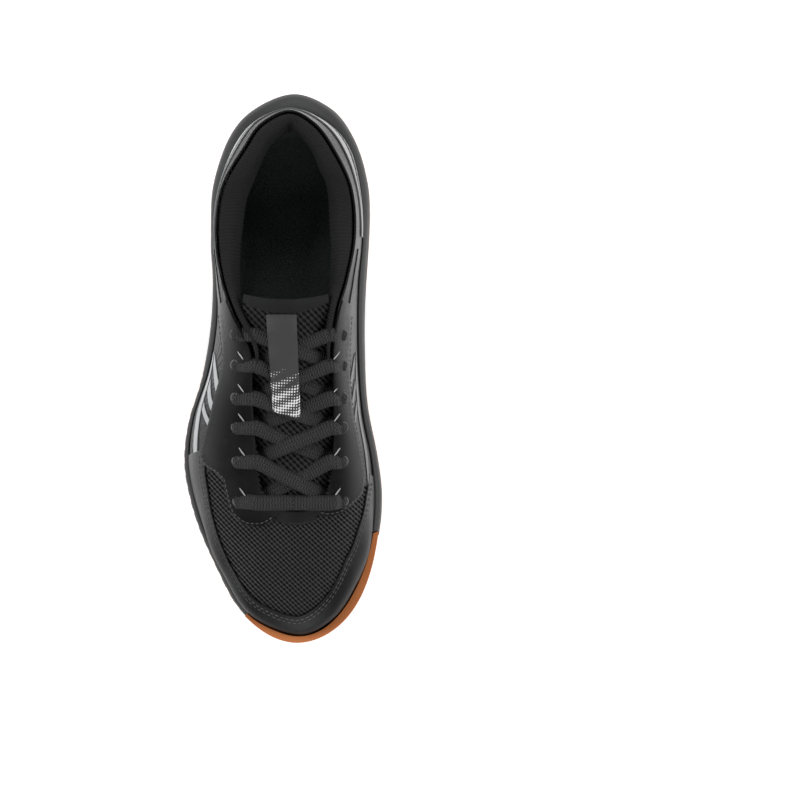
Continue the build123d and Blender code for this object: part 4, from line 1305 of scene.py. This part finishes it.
# ---------------------------------------------------------------- stage
CAMERA_PLACE, CAMERA_LENS, CAMERA_SENSOR = (0.062, -0.017, 1.60), 134, 36
LIGHTS = (("soft_left", (-1.25, 0.25, 0.85), 0.9, 13.5), ("soft_right", (1.35, 0.10, 0.80), 0.8, 13),
          ("soft_back", (0.10, 1.35, 0.90), 0.9, 12), ("soft_front", (0.00, -1.35, 0.95), 0.9, 10))
ROOM_LIGHT, ROOM_SEEN = 0.20, 1.0            # strength of the white room, and as it is seen


class COURT_SHOE_OT_stage(bpy.types.Operator):
    """Set the pale floor, the soft lights and the camera straight above"""
    bl_idname = "court_shoe.stage"
    bl_label = "Stage"

    def execute(self, context):
        scene = context.scene
        bm = bmesh.new()
        bmesh.ops.create_grid(bm, x_segments=8, y_segments=8, size=3.0)
        add_piece("floor", bm, "pale_floor")

        world = scene.world = bpy.data.worlds.new("studio")
        world.use_nodes = True
        colour, strength = world.node_tree.nodes["Background"].inputs[:2]
        colour.default_value = (1, 1, 1, 1)
        w = Wiring(world.node_tree)
        seen = w.node("ShaderNodeLightPath").outputs["Is Camera Ray"]
        w.put(strength, w.ramp(seen, 0.0, 1.0, ROOM_LIGHT, ROOM_SEEN))
        for name, place, size, power in LIGHTS:
            light = bpy.data.lights.new(name, "AREA")
            light.size = size
            light.energy = power
            holder = bpy.data.objects.new(name, light)
            holder.location = place
            aim = Vector((0, 0, 0.05)) - Vector(place)
            holder.rotation_euler = aim.to_track_quat("-Z", "Y").to_euler()
            scene.collection.objects.link(holder)
        camera = bpy.data.cameras.new("camera")
        camera.sensor_width = CAMERA_SENSOR
        camera.lens = CAMERA_LENS
        camera.clip_start = 0.05
        holder = bpy.data.objects.new("camera", camera)
        holder.location = CAMERA_PLACE
        scene.collection.objects.link(holder)
        scene.camera = holder
        scene.view_settings.view_transform = "Standard"
        return {"FINISHED"}


class COURT_SHOE_OT_finishes(bpy.types.Operator):
    """Make the shared effects and every finish"""
    bl_idname = "court_shoe.finishes"
    bl_label = "Finishes"

    def execute(self, context):
        EFFECTS.update({key: maker() for key, maker in EFFECT_MAKERS.items()})
        make_finishes(context.scene.court_shoe_colours)
        return {"FINISHED"}


STEPS = (
    COURT_SHOE_OT_finishes, COURT_SHOE_OT_stage, COURT_SHOE_OT_sole, COURT_SHOE_OT_frame_finishes,
    COURT_SHOE_OT_upper, COURT_SHOE_OT_overlays, COURT_SHOE_OT_heel_trim, COURT_SHOE_OT_collar,
    COURT_SHOE_OT_tongue, COURT_SHOE_OT_label, COURT_SHOE_OT_laces, COURT_SHOE_OT_stitching,
)


class COURT_SHOE_PT_panel(bpy.types.Panel):
    """Sizes, colours and building steps of the court shoe"""
    bl_idname = "COURT_SHOE_PT_panel"
    bl_label = "Court Shoe"
    bl_space_type = "VIEW_3D"
    bl_region_type = "UI"
    bl_category = "Court Shoe"

    def draw(self, context):
        layout = self.layout
        for group in (context.scene.court_shoe_sizes, context.scene.court_shoe_colours):
            box = layout.box()
            for key in group.__annotations__:
                box.prop(group, key)
        for step in STEPS:
            layout.operator(step.bl_idname)


CLASSES = (CourtShoeSizes, CourtShoeColours, *STEPS, COURT_SHOE_PT_panel)


def register():
    for cls in CLASSES:
        bpy.utils.register_class(cls)
    bpy.types.Scene.court_shoe_sizes = PointerProperty(type=CourtShoeSizes)
    bpy.types.Scene.court_shoe_colours = PointerProperty(type=CourtShoeColours)


def unregister():
    del bpy.types.Scene.court_shoe_colours
    del bpy.types.Scene.court_shoe_sizes
    for cls in reversed(CLASSES):
        bpy.utils.unregister_class(cls)


def main():
    register()
    for step in STEPS:
        family, action = step.bl_idname.split(".")
        getattr(getattr(bpy.ops, family), action)()


if __name__ == "__main__":
    main()
